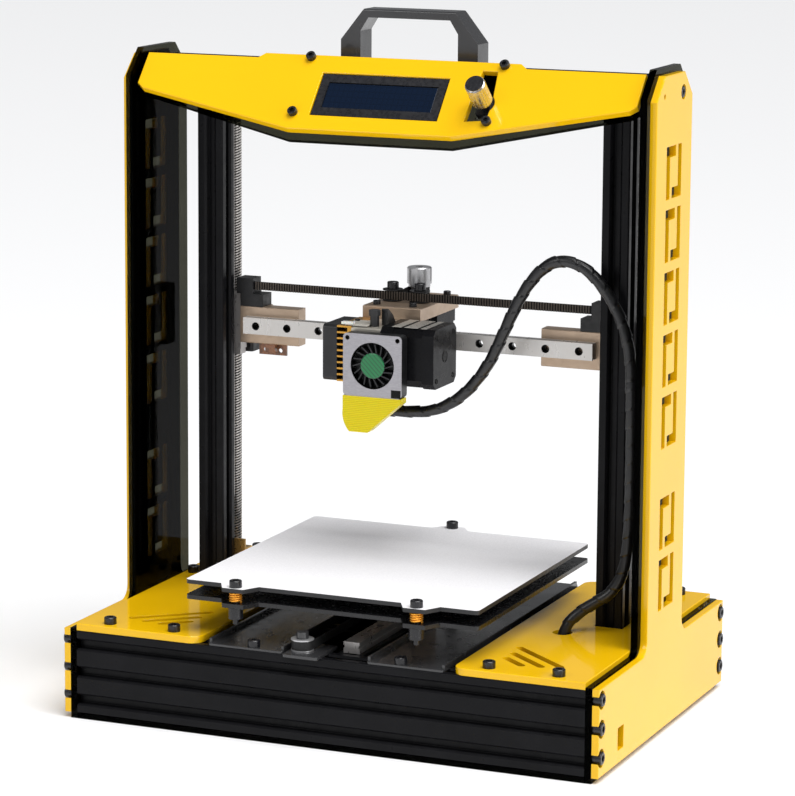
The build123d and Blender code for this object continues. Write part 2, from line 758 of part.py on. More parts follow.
with BuildPart() as x_pulley:
    with BuildSketch(Plane(origin=(carriage_x, x_pulley_y, plate_high + 0.5))):
        Circle(8)
    extrude(amount=0.8)
    with BuildSketch(Plane(origin=(carriage_x, x_pulley_y, plate_high + 1.3))):
        Circle(6.2)
    extrude(amount=6.4)
    with BuildSketch(Plane(origin=(carriage_x, x_pulley_y, plate_high + 7.7))):
        Circle(8)
    extrude(amount=2.3)
    with BuildSketch(Plane(origin=(carriage_x, x_pulley_y, plate_high + 10))):
        Circle(9)
    extrude(amount=12)
    chamfer(x_pulley.faces().sort_by(Axis.Z)[-1].edges(), 0.8)
    with BuildSketch(Plane(origin=(carriage_x, x_pulley_y, plate_high))):
        Circle(2.55)
    extrude(amount=30, mode=Mode.SUBTRACT)
    with BuildSketch(Plane(origin=(carriage_x, x_pulley_y, plate_high + 12))):
        with Locations((5.5, 0)):
            Rectangle(8, 1.4)
    extrude(amount=20, mode=Mode.SUBTRACT)
x_pulley.part.label = "x_pulley"
export_step(x_pulley.part, "parts/x_pulley.step")

for side, word in ((-1, "left"), (1, "right")):
    idler_foot = Plane(origin=(carriage_x + side * idler_half_gap, idler_y, plate_high + 0.4))
    with BuildPart() as x_idler:
        add(flanged_wheel(idler_foot, 5, 7.4, 2.55, 8.2, 6.6))
    x_idler.part.label = f"{word}_x_idler"
    export_step(x_idler.part, f"parts/{word}_x_idler.step")

# The belt's loop between the two idlers and round the motor pulley.
loop_radius = 7.1
with BuildPart() as x_belt_loop:
    with BuildSketch(Plane(origin=(carriage_x, 0, belt_z))):
        with BuildLine():
            Line((-4.1, 38.5), (-loop_radius, x_pulley_y))
            ThreePointArc((-loop_radius, x_pulley_y), (0, x_pulley_y + loop_radius), (loop_radius, x_pulley_y))
            Line((loop_radius, x_pulley_y), (4.1, 38.5))
        trace(line_width=1)
    extrude(amount=belt_height)
x_belt_loop.part.label = "x_belt_loop"
export_step(x_belt_loop.part, "parts/x_belt_loop.step")

with BuildPart() as carriage_screws:
    idler_points = [(carriage_x + side * idler_half_gap, idler_y) for side in (-1, 1)]
    with BuildSketch(Plane.XY.offset(plate_high)):
        with Locations(*idler_points):
            Circle(2.5)
    extrude(amount=9)
    add(cap_screws(Plane.XY.offset(plate_high + 8.8), idler_points, 4.2, 5))
    motor_points = [(carriage_x + dx * bolt_half_pitch, x_pulley_y + dy * bolt_half_pitch)
                    for dx in (-1, 1) for dy in (-1, 1)]
    add(cap_screws(Plane.XY.offset(plate_high), motor_points, 2.7, 3))
    add(cap_screws(Plane.XY.offset(plate_high), [(carriage_x + 14, 20), (carriage_x - 14, 20)], 2.7, 3))
carriage_screws.part.label = "carriage_screws"
export_step(carriage_screws.part, "parts/carriage_screws.step")

extruder_face = Plane(origin=(head_x, head_y, head_z), x_dir=(0, 1, 0), z_dir=(-1, 0, 0))
with BuildPart() as extruder_motor:
    add(stepper_motor(extruder_face, 40.6, 0))
extruder_motor.part.label = "extruder_motor"
export_step(extruder_motor.part, "parts/extruder_motor.step")

block_left = -26.5
with BuildPart() as extruder_body:
    with BuildSketch(Plane.XY.offset(head_z - 20)):
        with Locations(((block_left + head_x) / 2, (-28 + 13.4) / 2)):
            Rectangle(head_x - block_left, 13.4 + 28)
    extrude(amount=39.5)
    chamfer(extruder_body.edges().filter_by(Axis.X), 1)
    with BuildSketch(Plane(origin=(head_x, head_y, head_z), x_dir=(0, 1, 0), z_dir=(-1, 0, 0))):
        Circle(11.2)
    extrude(amount=2.2, mode=Mode.SUBTRACT)
    with BuildSketch(Plane.XY.offset(head_z + 19.5)):
        with Locations((-12, -20)):
            Circle(3.2)
    extrude(amount=8)
    with BuildSketch(Plane.XY.offset(head_z + 27.5)):
        with Locations((-12, -20)):
            Circle(4.2)
    extrude(amount=4)
    with BuildSketch(Plane(origin=(-9, 0, 0), x_dir=(0, 1, 0), z_dir=(1, 0, 0))):
        Polygon((-14, head_z + 19.5), (0, head_z + 19.5), (-6, 283), (-15, 289), align=None)
        fillet(vertices(), 0.8)
    extrude(amount=5)
extruder_body.part.label = "extruder_body"
export_step(extruder_body.part, "parts/extruder_body.step")

fin_count = 10
with BuildPart() as heatsink:
    with BuildSketch(Plane.XY.offset(head_z - 20)):
        with Locations((block_left - 1.5, head_y)):
            Rectangle(3, 40)
    extrude(amount=40)
    for index in range(fin_count):
        with BuildSketch(Plane.XY.offset(head_z - 20 + index * (40 - 1.3) / (fin_count - 1))):
            with Locations((block_left - 7, head_y)):
                Rectangle(8, 40)
        extrude(amount=1.3)
heatsink.part.label = "heatsink"
export_step(heatsink.part, "parts/heatsink.step")

fan_plane = Plane(origin=(block_left - 11, head_y, head_z), x_dir=(0, 1, 0), z_dir=(-1, 0, 0))
fan_depth = 10.8
with BuildPart() as fan_frame:
    with BuildSketch(fan_plane):
        RectangleRounded(40, 40, 3)
        Circle(19, mode=Mode.SUBTRACT)
        with GridLocations(32, 32, 2, 2):
            Circle(1.8, mode=Mode.SUBTRACT)
    extrude(amount=fan_depth)
    with BuildSketch(fan_plane):
        Circle(10)
        with PolarLocations(14, 3):
            Rectangle(11.5, 2)
    extrude(amount=1.2)
fan_frame.part.label = "fan_frame"
export_step(fan_frame.part, "parts/fan_frame.step")

with BuildPart() as fan_rotor:
    with BuildSketch(fan_plane.offset(1.8)):
        Circle(9.5)
    extrude(amount=8.4)
    with BuildSketch(fan_plane.offset(2.6)):
        with PolarLocations(13.6, 7):
            Rectangle(9.4, 1.4, rotation=24)
    extrude(amount=6.6)
fan_rotor.part.label = "fan_rotor"
export_step(fan_rotor.part, "parts/fan_rotor.step")

blower_x = -4.75
blower_z = 251.75
blower_size = 44.5
blower_back = -31
blower_depth = 10
blower_plane = Plane(origin=(blower_x, blower_back, blower_z), x_dir=(1, 0, 0), z_dir=(0, -1, 0))
with BuildPart() as blower_case:
    with BuildSketch(blower_plane):
        RectangleRounded(blower_size, blower_size, 3)
    extrude(amount=blower_depth)
    with BuildSketch(blower_plane.offset(1)):
        Circle(18)
        with Locations((-11, -14)):
            Rectangle(16, 18)
    extrude(amount=blower_depth - 2, mode=Mode.SUBTRACT)
    with BuildSketch(blower_plane.offset(blower_depth - 1)):
        Circle(16.5)
    extrude(amount=1, mode=Mode.SUBTRACT)
    with BuildSketch(blower_plane.offset(1)):
        Circle(5)
    extrude(amount=1)
    with BuildSketch(blower_plane):
        with Locations((19, 19), (-19, 19), (19, -19)):
            Circle(1.7)
    extrude(amount=blower_depth, mode=Mode.SUBTRACT)
    with BuildSketch(blower_plane.offset(-1.85)):
        with Locations((10, 12), (10, -12)):
            Circle(3)
    extrude(amount=1.85)
blower_case.part.label = "blower_case"
export_step(blower_case.part, "parts/blower_case.step")

blade_count = 18
with BuildPart() as blower_impeller:
    with BuildSketch(blower_plane.offset(2.3)):
        Circle(15.6)
    extrude(amount=0.8)
    with BuildSketch(blower_plane.offset(3.1)):
        Circle(9.2)
        with PolarLocations(12.2, blade_count):
            Rectangle(6.6, 0.9, rotation=20)
    extrude(amount=6)
blower_impeller.part.label = "blower_impeller"
export_step(blower_impeller.part, "parts/blower_impeller.step")

# Printed duct under the blower: a bag-shaped hood with a slot towards the nozzle.
duct_top = blower_z - blower_size / 2
duct_plane = Plane(origin=(0, blower_back, 0), x_dir=(1, 0, 0), z_dir=(0, -1, 0))
with BuildPart() as air_duct:
    with BuildSketch(duct_plane):
        with BuildLine():
            outline = Polyline((-22, 204), (-8, 204), (17, 226), (17, duct_top), (-27, duct_top), (-27, 220))
            ThreePointArc(outline @ 1, (-25.8, 210), outline @ 0)
        make_face()
    extrude(amount=blower_depth + 0.5)
    opening = air_duct.faces().sort_by(Axis.Z)[-1]
    offset(amount=-1.2, openings=opening)
    with BuildSketch(Plane(origin=(-15, blower_back + 1, 207.5), x_dir=(1, 0, 0), z_dir=(0, -1, 0))):
        Rectangle(11, 3)
    extrude(amount=4, mode=Mode.SUBTRACT)
air_duct.part.label = "air_duct"
export_step(air_duct.part, "parts/air_duct.step")

nozzle_x = -20
with BuildPart() as hot_end:
    with BuildSketch(Plane(origin=(nozzle_x, head_y, 209))):
        with Locations((1.5, 0)):
            Rectangle(20, 16)
    extrude(amount=11)
    with BuildSketch(Plane(origin=(nozzle_x, head_y, 220))):
        Circle(3)
    extrude(amount=head_z - 20 - 220)
    with BuildSketch(Plane(origin=(nozzle_x, head_y, 206))):
        RegularPolygon(4, 6)
    extrude(amount=3)
    with BuildSketch(Plane(origin=(nozzle_x, head_y, 206))):
        Circle(3.4)
    extrude(amount=-3, taper=40)
hot_end.part.label = "hot_end"
export_step(hot_end.part, "parts/hot_end.step")

# ---------------------------------------------------------------- bed
def bed_outline(size):
    """A square plate with three ears for its levelling screws."""
    half = size / 2
    front = bed_y - half
    rear = bed_y + half
    with BuildSketch() as outline:
        with Locations((0, bed_y)):
            RectangleRounded(size, size, 3)
        for x in (-ear_x, ear_x):
            Polygon((x - 15, front + 1), (x - 8, ear_front_y - 5), (x + 8, ear_front_y - 5),
                    (x + 15, front + 1), align=None)
        Polygon((-15, rear - 1), (-8, ear_rear_y + 5), (8, ear_rear_y + 5), (15, rear - 1), align=None)
        with Locations((-ear_x, ear_front_y), (ear_x, ear_front_y), (0, ear_rear_y)):
            Circle(2.1, mode=Mode.SUBTRACT)
    return outline.sketch


ear_points = [(-ear_x, ear_front_y), (ear_x, ear_front_y), (0, ear_rear_y)]
with BuildPart() as heated_bed:
    with BuildSketch(Plane.XY.offset(bed_z)):
        add(bed_outline(bed_size))
    extrude(amount=plate_thickness)
heated_bed.part.label = "heated_bed"
export_step(heated_bed.part, "parts/heated_bed.step")

with BuildPart() as bed_carrier:
    with BuildSketch(Plane.XY.offset(carrier_z)):
        add(bed_outline(bed_size))
    extrude(amount=plate_thickness)
bed_carrier.part.label = "bed_carrier"
export_step(bed_carrier.part, "parts/bed_carrier.step")

with BuildPart() as y_guide_block:
    add(guide_block(Plane(origin=(y_rail_x, bed_y, beam_top), x_dir=(0, 1, 0), z_dir=(0, 0, 1))))
y_guide_block.part.label = "y_guide_block"
export_step(y_guide_block.part, "parts/y_guide_block.step")

spacer_low = beam_top + block_top
with BuildPart() as bed_spacer:
    with BuildSketch(Plane.XY.offset(spacer_low)):
        with Locations((y_rail_x, bed_y)):
            Rectangle(block_width, block_length)
    extrude(amount=carrier_z - spacer_low)
    with BuildSketch(Plane.XY.offset(spacer_low)):
        with Locations((y_belt_x + 4, bed_y)):
            Rectangle(28, 16)
    extrude(amount=carrier_z - spacer_low)
bed_spacer.part.label = "bed_spacer"
export_step(bed_spacer.part, "parts/bed_spacer.step")

spring_gap = bed_z - carrier_z - plate_thickness
with BuildPart() as level_springs:
    with BuildSketch(Plane.XY.offset(carrier_z + plate_thickness)):
        with Locations(*ear_points):
            Circle(4.6)
            Circle(2.4, mode=Mode.SUBTRACT)
    extrude(amount=spring_gap)
level_springs.part.label = "level_springs"
export_step(level_springs.part, "parts/level_springs.step")

with BuildPart() as level_screws:
    with BuildSketch(Plane.XY.offset(carrier_z - 12)):
        with Locations(*ear_points):
            Circle(2)
    extrude(amount=bed_z + plate_thickness - carrier_z + 12)
    add(cap_screws(Plane.XY.offset(bed_z + plate_thickness), ear_points, 4.4, 5))
    with BuildSketch(Plane.XY.offset(carrier_z - 8)):
        with Locations(*ear_points):
            Circle(5.2)
    extrude(amount=8)
level_screws.part.label = "level_screws"
export_step(level_screws.part, "parts/level_screws.step")

# ---------------------------------------------------------------- cable loom
loom_radius = 4.5
upper_route = [(-8.5, -8, 214.5), (10, -8, 214.5), (31, -8, 217), (52, -8, 230), (69, -6, 252), (80, -5, 277),
               (92, -4, 304), (106, -2, 323), (121, -1, 330), (140, 0, 324), (157, 0.5, 304), (167, 0.5, 283),
               (171.5, 0.5, 262), (172, 0.5, 247)]
lower_route = [(172, 0.5, 247), (173, 0.5, 217), (173, 0.5, 160), (171.5, -1, 118), (163, -4, 98),
               (147, -8, 88), (136, -13, 79), (131, -16, 70), (130, -17, 60)]
with BuildPart() as loom_upper:
    add(round_cord(upper_route, loom_radius, "loom_upper"))
loom_upper.part.label = "loom_upper"
export_step(loom_upper.part, "parts/loom_upper.step")

with BuildPart() as loom_lower:
    add(round_cord(lower_route, loom_radius, "loom_lower"))
loom_lower.part.label = "loom_lower"
export_step(loom_lower.part, "parts/loom_lower.step")
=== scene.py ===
import math

import bmesh
import bpy
from mathutils import Matrix, Vector
from mathutils.noise import noise_vector, seed_set


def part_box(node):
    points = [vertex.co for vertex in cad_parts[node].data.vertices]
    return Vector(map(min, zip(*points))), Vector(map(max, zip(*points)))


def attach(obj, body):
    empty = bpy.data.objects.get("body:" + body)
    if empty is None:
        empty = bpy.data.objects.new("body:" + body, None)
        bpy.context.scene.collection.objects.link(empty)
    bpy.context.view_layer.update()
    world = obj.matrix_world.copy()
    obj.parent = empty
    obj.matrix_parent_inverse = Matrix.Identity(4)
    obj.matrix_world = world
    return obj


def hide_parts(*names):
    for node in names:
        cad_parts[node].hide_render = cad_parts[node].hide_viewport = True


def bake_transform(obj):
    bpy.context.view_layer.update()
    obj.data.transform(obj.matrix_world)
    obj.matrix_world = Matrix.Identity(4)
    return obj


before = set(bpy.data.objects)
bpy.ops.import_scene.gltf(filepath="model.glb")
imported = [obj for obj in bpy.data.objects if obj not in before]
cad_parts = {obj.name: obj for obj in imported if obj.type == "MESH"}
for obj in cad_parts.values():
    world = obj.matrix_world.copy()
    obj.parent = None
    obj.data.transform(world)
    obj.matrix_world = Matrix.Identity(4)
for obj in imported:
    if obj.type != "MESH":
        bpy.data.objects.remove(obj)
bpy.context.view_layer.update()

bl_info = {
    "name": "Portal printer",
    "version": (1, 0, 0),
    "blender": (4, 5, 0),
    "location": "View3D > Sidebar > Printer",
    "description": "Finishes a desktop portal printer: looms, threads, springs and materials",
    "category": "Object",
}

MM = 0.001

# The tilted front panel: which way it faces, which way is up on it, and a point of its face.
PANEL_NORMAL = Vector((0, -0.7495, 0.662))
PANEL_UP = Vector((0, 0.662, 0.7495))
PANEL_POINT = Vector((0, -0.0413, 0.442))

# The camera: its place in metres, its turns in radians and its lens.
CAMERA_PLACE = (0.9359, -2.22785, 0.6818)
CAMERA_YAW = 0.402
CAMERA_PITCH = -0.170
CAMERA_ROLL = 0.006
CAMERA_SENSOR = 36
CAMERA_LENS = 3464 / 795 * CAMERA_SENSOR
CAMERA_SHIFT = (0.0136, -0.078)


# ---------------------------------------------------------------- settings
class PrinterSettings(bpy.types.PropertyGroup):
    """Sizes and colours of the pieces that a user would change."""
    panel_color: bpy.props.FloatVectorProperty(
        name="Panel yellow", description="Colour of the acrylic panels",
        default=(0.80, 0.46, 0.003), size=3, subtype="COLOR")
    smoke_color: bpy.props.FloatVectorProperty(
        name="Smoke tint", description="Tint of the dark acrylic",
        default=(0.040, 0.040, 0.028), size=3, subtype="COLOR")
    metal_color: bpy.props.FloatVectorProperty(
        name="Champagne", description="Colour of the brackets and the carriage plate",
        default=(0.50, 0.375, 0.275), size=3, subtype="COLOR")
    duct_color: bpy.props.FloatVectorProperty(
        name="Duct yellow", description="Colour of the printed air duct",
        default=(0.64, 0.53, 0.006), size=3, subtype="COLOR")
    label_color: bpy.props.FloatVectorProperty(
        name="Hub green", description="Colour of the blower's hub label",
        default=(0.0, 0.16, 0.045), size=3, subtype="COLOR")
    loom_radius: bpy.props.FloatProperty(
        name="Loom radius", description="Outer radius of the wrapped loom",
        default=4.5 * MM, unit="LENGTH")
    loom_pitch: bpy.props.FloatProperty(
        name="Wrap pitch", description="Distance between two turns of the loom's wrap",
        default=13 * MM, unit="LENGTH")
    thread_lead: bpy.props.FloatProperty(
        name="Thread lead", description="Rise of the lead screw's thread in one turn",
        default=8 * MM, unit="LENGTH")
    belt_pitch: bpy.props.FloatProperty(
        name="Belt pitch", description="Distance between two belt teeth",
        default=2 * MM, unit="LENGTH")
    wire_radius: bpy.props.FloatProperty(
        name="Spring wire", description="Radius of the spring wire",
        default=0.75 * MM, unit="LENGTH")


def settings():
    """The scene's own copy of the settings."""
    return bpy.context.scene.printer_settings


# ---------------------------------------------------------------- material tools
class Look:
    """A material under construction, on the object's own coordinates."""

    def __init__(self, name, color, roughness, metallic=0.0):
        self.material = bpy.data.materials.new(name)
        self.material.use_nodes = True
        self.material.diffuse_color = (*color, 1)
        self.nodes = self.material.node_tree.nodes
        self.links = self.material.node_tree.links
        self.shader = self.nodes["Principled BSDF"]
        self.shader.inputs["Base Color"].default_value = (*color, 1)
        self.shader.inputs["Roughness"].default_value = roughness
        self.shader.inputs["Metallic"].default_value = metallic
        self.color = color
        self.coords = self.nodes.new("ShaderNodeTexCoord").outputs["Object"]
        self.normal = None

    def set(self, **values):
        """Sets the shader's own sockets; an underscore stands for a space."""
        for key, value in values.items():
            self.shader.inputs[key.replace("_", " ")].default_value = value
        return self

    def noise(self, scale, detail=3, stretch=(1, 1, 1)):
        """A noise pattern, which stretch can pull into a grain."""
        mapping = self.nodes.new("ShaderNodeMapping")
        mapping.inputs["Scale"].default_value = stretch
        self.links.new(self.coords, mapping.inputs["Vector"])
        texture = self.nodes.new("ShaderNodeTexNoise")
        texture.inputs["Scale"].default_value = scale
        texture.inputs["Detail"].default_value = detail
        self.links.new(mapping.outputs["Vector"], texture.inputs["Vector"])
        return texture.outputs["Fac"]

    def spread(self, value, low, high, start=0.3, end=0.7):
        """Maps a pattern to the range from low to high."""
        node = self.nodes.new("ShaderNodeMapRange")
        node.inputs["From Min"].default_value = start
        node.inputs["From Max"].default_value = end
        node.inputs["To Min"].default_value = low
        node.inputs["To Max"].default_value = high
        self.links.new(value, node.inputs["Value"])
        return node.outputs["Result"]

    def rough(self, value, low, high):
        """Lets a pattern vary the roughness."""
        self.links.new(self.spread(value, low, high), self.shader.inputs["Roughness"])
        return self

    def mix(self, factor, first, second):
        """Mixes two colours; each is a colour or a socket."""
        node = self.nodes.new("ShaderNodeMix")
        node.data_type = "RGBA"
        self.links.new(factor, node.inputs["Factor"])
        for key, item in (("A", first), ("B", second)):
            socket = [s for s in node.inputs if s.name == key and s.type == "RGBA"][0]
            if isinstance(item, bpy.types.NodeSocket):
                self.links.new(item, socket)
            else:
                socket.default_value = (*item, 1)
        return [s for s in node.outputs if s.type == "RGBA"][0]

    def tint(self, factor, first, second):
        """Colours the surface between two colours."""
        self.links.new(self.mix(factor, first, second), self.shader.inputs["Base Color"])
        return self

    def wear(self, scale, amount):
        """Slow darker and lighter patches of the base colour."""
        darker = tuple(channel * (1 - amount) for channel in self.color)
        lighter = tuple(min(1, channel * (1 + amount)) for channel in self.color)
        return self.tint(self.spread(self.noise(scale), 0, 1), darker, lighter)

    def bump(self, height, strength, distance):
        """Adds a relief to the surface; reliefs stack."""
        node = self.nodes.new("ShaderNodeBump")
        node.inputs["Strength"].default_value = strength
        node.inputs["Distance"].default_value = distance
        self.links.new(height, node.inputs["Height"])
        if self.normal:
            self.links.new(self.normal, node.inputs["Normal"])
        self.normal = node.outputs["Normal"]
        self.links.new(self.normal, self.shader.inputs["Normal"])
        return self

    def soft_edges(self, radius):
        """Catches light along sharp edges."""
        node = self.nodes.new("ShaderNodeBevel")
        node.samples = 4
        node.inputs["Radius"].default_value = radius
        self.normal = node.outputs["Normal"]
        self.links.new(self.normal, self.shader.inputs["Normal"])
        return self

    def axis(self, letter):
        """One coordinate of the object's own space."""
        node = self.nodes.new("ShaderNodeSeparateXYZ")
        self.links.new(self.coords, node.inputs["Vector"])
        return node.outputs[letter]

    def above(self, value, limit):
        """One where the value is over the limit, otherwise nought."""
        return self.math("GREATER_THAN", value, limit)

    def math(self, operation, first, second=None):
        """Arithmetic on one or two sockets or numbers."""
        node = self.nodes.new("ShaderNodeMath")
        node.operation = operation
        for place, item in enumerate((first, second)):
            if isinstance(item, bpy.types.NodeSocket):
                self.links.new(item, node.inputs[place])
            elif item is not None:
                node.inputs[place].default_value = item
        return node.outputs["Value"]

    def apart(self, value, middle):
        """How far a value is from the middle."""
        return self.math("ABSOLUTE", self.math("SUBTRACT", value, middle))

    def product(self, first, second):
        """Two masks at once."""
        return self.math("MULTIPLY", first, second)

    def flip(self, value):
        """One less a mask."""
        return self.math("SUBTRACT", 1.0, value)

    def sine(self, value, period):
        """A sine of a coordinate, from minus one to one."""
        return self.math("SINE", self.math("MULTIPLY", value, 2 * math.pi / period))

    def ripples(self, letter, period):
        """A sine along one axis, from nought to one."""
        return self.spread(self.sine(self.axis(letter), period), 0, 1, -1, 1)


# ---------------------------------------------------------------- materials
def yellow_acrylic():
    """Cast acrylic: a high gloss with faint haze and handling marks."""
    look = Look("yellow_acrylic", tuple(settings().panel_color), 0.08)
    look.soft_edges(0.5 * MM)
    look.wear(9, 0.03)
    look.rough(look.noise(40, 5), 0.05, 0.13)
    look.bump(look.noise(14, 2), 0.03, 0.6 * MM)
    look.bump(look.noise(900, 2, (1, 0.03, 1)), 0.02, 0.05 * MM)
    look.set(IOR=1.49, Specular_IOR_Level=0.38)
    return look.set(Coat_Weight=0.1, Coat_Roughness=0.03).material


def smoked_acrylic():
    """Dark see-through acrylic; its low index keeps the white floor out of its face."""
    look = Look("smoked_acrylic", tuple(settings().smoke_color), 0.03)
    look.rough(look.noise(60, 4), 0.015, 0.06)
    look.wear(20, 0.12)
    look.bump(look.noise(11, 2), 0.02, 0.5 * MM)
    return look.set(IOR=1.08, Transmission_Weight=1.0).material


def black_anodised():
    """Satin black extrusion with die lines."""
    look = Look("black_anodised", (0.0045, 0.0045, 0.0055), 0.3)
    look.soft_edges(0.6 * MM)
    look.wear(30, 0.25)
    look.rough(look.noise(160, 4), 0.26, 0.42)
    look.bump(look.noise(700, 2), 0.05, 0.05 * MM)
    return look.set(Specular_IOR_Level=0.13).material


def champagne_metal():
    """Bead-blasted champagne anodising with a fine grain."""
    look = Look("champagne_metal", tuple(settings().metal_color), 0.36, 0.7)
    look.soft_edges(0.5 * MM)
    look.wear(60, 0.07)
    look.rough(look.noise(260, 4), 0.30, 0.46)
    look.bump(look.noise(1800, 2), 0.12, 0.08 * MM)
    return look.material


def rail_steel():
    """Ground steel with fine lines across it."""
    look = Look("rail_steel", (0.42, 0.40, 0.39), 0.3, 0.6)
    look.wear(25, 0.04)
    look.rough(look.noise(90, 3, (4, 1, 1)), 0.26, 0.34)
    look.bump(look.noise(900, 1, (6, 1, 1)), 0.02, 0.02 * MM)
    return look.material


def gantry_rail():
    """Brighter ground steel, with painted shade inside the screw wells in its front face."""
    steel = (0.62, 0.60, 0.58)
    rail_height = 261.5 * MM
    well_depth = 0.6 * MM
    look = Look("gantry_rail", steel, 0.3, 0.4)
    well = look.above(look.axis("Y"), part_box("x_guide_rail")[0].y + well_depth)
    flank = look.spread(look.apart(look.axis("Z"), rail_height), 0, 1, 5.7 * MM, 5.8 * MM)
    inside = look.product(well, look.flip(flank))
    # Painted shade: faces more than 0.6 mm behind the front face, within the rail's height, are
    # coloured near black.
    look.tint(inside, steel, (0.004, 0.004, 0.004))
    look.rough(look.noise(90, 3, (4, 1, 1)), 0.26, 0.34)
    look.bump(look.noise(900, 1, (6, 1, 1)), 0.02, 0.02 * MM)
    return look.material


def dark_steel():
    """Glossy dark powder coat with an orange-peel skin."""
    look = Look("dark_steel", (0.030, 0.030, 0.032), 0.2)
    look.soft_edges(0.5 * MM)
    look.wear(12, 0.2)
    look.rough(look.noise(90, 4), 0.14, 0.3)
    look.bump(look.noise(420, 2), 0.08, 0.12 * MM)
    return look.set(Coat_Weight=0.3, Coat_Roughness=0.1).material


def motor_black():
    """Satin black paint of the motors."""
    look = Look("motor_black", (0.006, 0.006, 0.007), 0.28)
    look.wear(40, 0.2)
    look.rough(look.noise(120, 3), 0.22, 0.34)
    look.bump(look.noise(900, 2), 0.03, 0.03 * MM)
    return look.set(Specular_IOR_Level=0.10).material


def black_plastic():
    """Matte printed plastic with fine layers."""
    look = Look("black_plastic", (0.008, 0.008, 0.009), 0.5)
    look.soft_edges(0.4 * MM)
    look.wear(70, 0.2)
    look.rough(look.noise(240, 3), 0.4, 0.6)
    look.bump(look.ripples("Z", 0.4 * MM), 0.12, 0.08 * MM)
    return look.material


def black_oxide():
    """Oiled black steel of the cap screws."""
    look = Look("black_oxide", (0.007, 0.007, 0.009), 0.3)
    look.soft_edges(0.4 * MM)
    look.wear(200, 0.3)
    look.rough(look.noise(800, 3), 0.2, 0.42)
    look.bump(look.noise(2500, 2), 0.1, 0.05 * MM)
    return look.material


def thread_steel():
    """Rolled thread: bright crests over dark roots, the dark being painted shade in the thread's
    grooves.
    """
    look = Look("thread_steel", (0.62, 0.60, 0.57), 0.25, 0.7)
    low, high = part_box("right_lead_screw")
    across = look.apart(look.math("ABSOLUTE", look.axis("X")), (low.x + high.x) / 2)
    along = look.apart(look.axis("Y"), (low.y + high.y) / 2)
    squares = look.math("ADD", look.product(across, across), look.product(along, along))
    reach = look.math("SQRT", squares)
    # Painted shade: inside a 3.3 mm reach the roots turn near black; from 3.8 mm out the crests
    # keep the steel colour.
    crest = look.spread(reach, 0, 1, 3.3 * MM, 3.8 * MM)
    look.tint(crest, (0.03, 0.027, 0.024), (0.66, 0.63, 0.60))
    look.rough(look.noise(500, 3), 0.2, 0.36)
    return look.material


def turned_silver():
    """Turned aluminium with tool rings."""
    look = Look("turned_silver", (0.56, 0.56, 0.57), 0.36, 0.75)
    look.wear(80, 0.08)
    look.rough(look.noise(200, 3), 0.3, 0.42)
    look.bump(look.ripples("Z", 1.2 * MM), 0.03, 0.02 * MM)
    return look.material


def knob_metal():
    """Turned knob with a dark recessed cap on its end."""
    silver = (0.70, 0.70, 0.71)
    cap_reach = 22.6 * MM
    look = Look("knob_metal", silver, 0.2, 0.95)
    node = look.nodes.new("ShaderNodeVectorMath")
    node.operation = "DOT_PRODUCT"
    node.inputs[1].default_value = PANEL_NORMAL
    look.links.new(look.coords, node.inputs[0])
    cap = look.above(node.outputs["Value"], PANEL_POINT.dot(PANEL_NORMAL) + cap_reach)
    look.tint(cap, silver, (0.10, 0.10, 0.11))
    look.rough(look.noise(500, 3), 0.12, 0.3)
    look.bump(look.noise(1500, 2), 0.06, 0.03 * MM)
    return look.material


def gold_fins():
    """Gold anodised fins."""
    look = Look("gold_fins", (0.62, 0.33, 0.06), 0.3, 0.85)
    look.soft_edges(0.2 * MM)
    look.wear(90, 0.15)
    look.rough(look.noise(500, 3), 0.22, 0.4)
    look.bump(look.noise(1800, 2), 0.06, 0.04 * MM)
    return look.material


def belt_rubber():
    """Dry black rubber with woven dust."""
    look = Look("belt_rubber", (0.012, 0.012, 0.012), 0.55)
    look.wear(300, 0.4)
    look.rough(look.noise(900, 3), 0.5, 0.75)
    look.bump(look.noise(3000, 2), 0.2, 0.05 * MM)
    return look.material


def toothed_rubber():
    """Belt rubber with dusty crests and painted shade in the gaps between its teeth."""
    crest_depth = 1.0 * MM
    look = Look("toothed_rubber", (0.03, 0.027, 0.024), 0.6)
    # Painted shade: the belt face between the teeth and the rear of each tooth's flanks turn near
    # black.
    painted_gap_shade = look.above(look.axis("Y"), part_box("x_belt")[1].y - crest_depth)
    look.tint(painted_gap_shade, (0.085, 0.070, 0.058), (0.003, 0.003, 0.003))
    look.rough(look.noise(900, 3), 0.5, 0.75)
    look.bump(look.noise(3000, 2), 0.2, 0.05 * MM)
    return look.set(Specular_IOR_Level=0.25).material


def spring_brass():
    """Golden die-spring coating."""
    look = Look("spring_brass", (0.85, 0.36, 0.03), 0.3, 0.6)
    look.wear(300, 0.15)
    look.rough(look.noise(900, 3), 0.2, 0.4)
    look.bump(look.noise(2500, 2), 0.08, 0.04 * MM)
    return look.material


def lemon_print():
    """Printed plastic: layers and a slight shine."""
    look = Look("lemon_print", tuple(settings().duct_color), 0.34)
    layers = look.ripples("Z", 1.3 * MM)
    look.tint(layers, (0.56, 0.46, 0.004), (0.70, 0.58, 0.008))
    look.bump(layers, 0.5, 0.15 * MM)
    look.bump(look.noise(500, 3, (0.2, 0.2, 4)), 0.12, 0.12 * MM)
    look.rough(look.noise(300, 3), 0.26, 0.44)
    look.set(Specular_IOR_Level=0.25)
    return look.set(Subsurface_Weight=0.1, Subsurface_Scale=1 * MM).material


def build_plate():
    """Light brushed build surface on a black plate."""
    look = Look("build_plate", (0.6, 0.6, 0.61), 0.45)
    edge_height = 106.95 * MM
    top = look.above(look.axis("Z"), edge_height)
    grain = look.spread(look.noise(900, 4), 0, 1)
    surface = look.mix(grain, (0.82, 0.81, 0.83), (0.93, 0.92, 0.94))
    look.tint(top, (0.012, 0.012, 0.013), surface)
    look.rough(look.noise(500, 4), 0.38, 0.52)
    look.bump(look.noise(2600, 2), 0.1, 0.04 * MM)
    return look.material


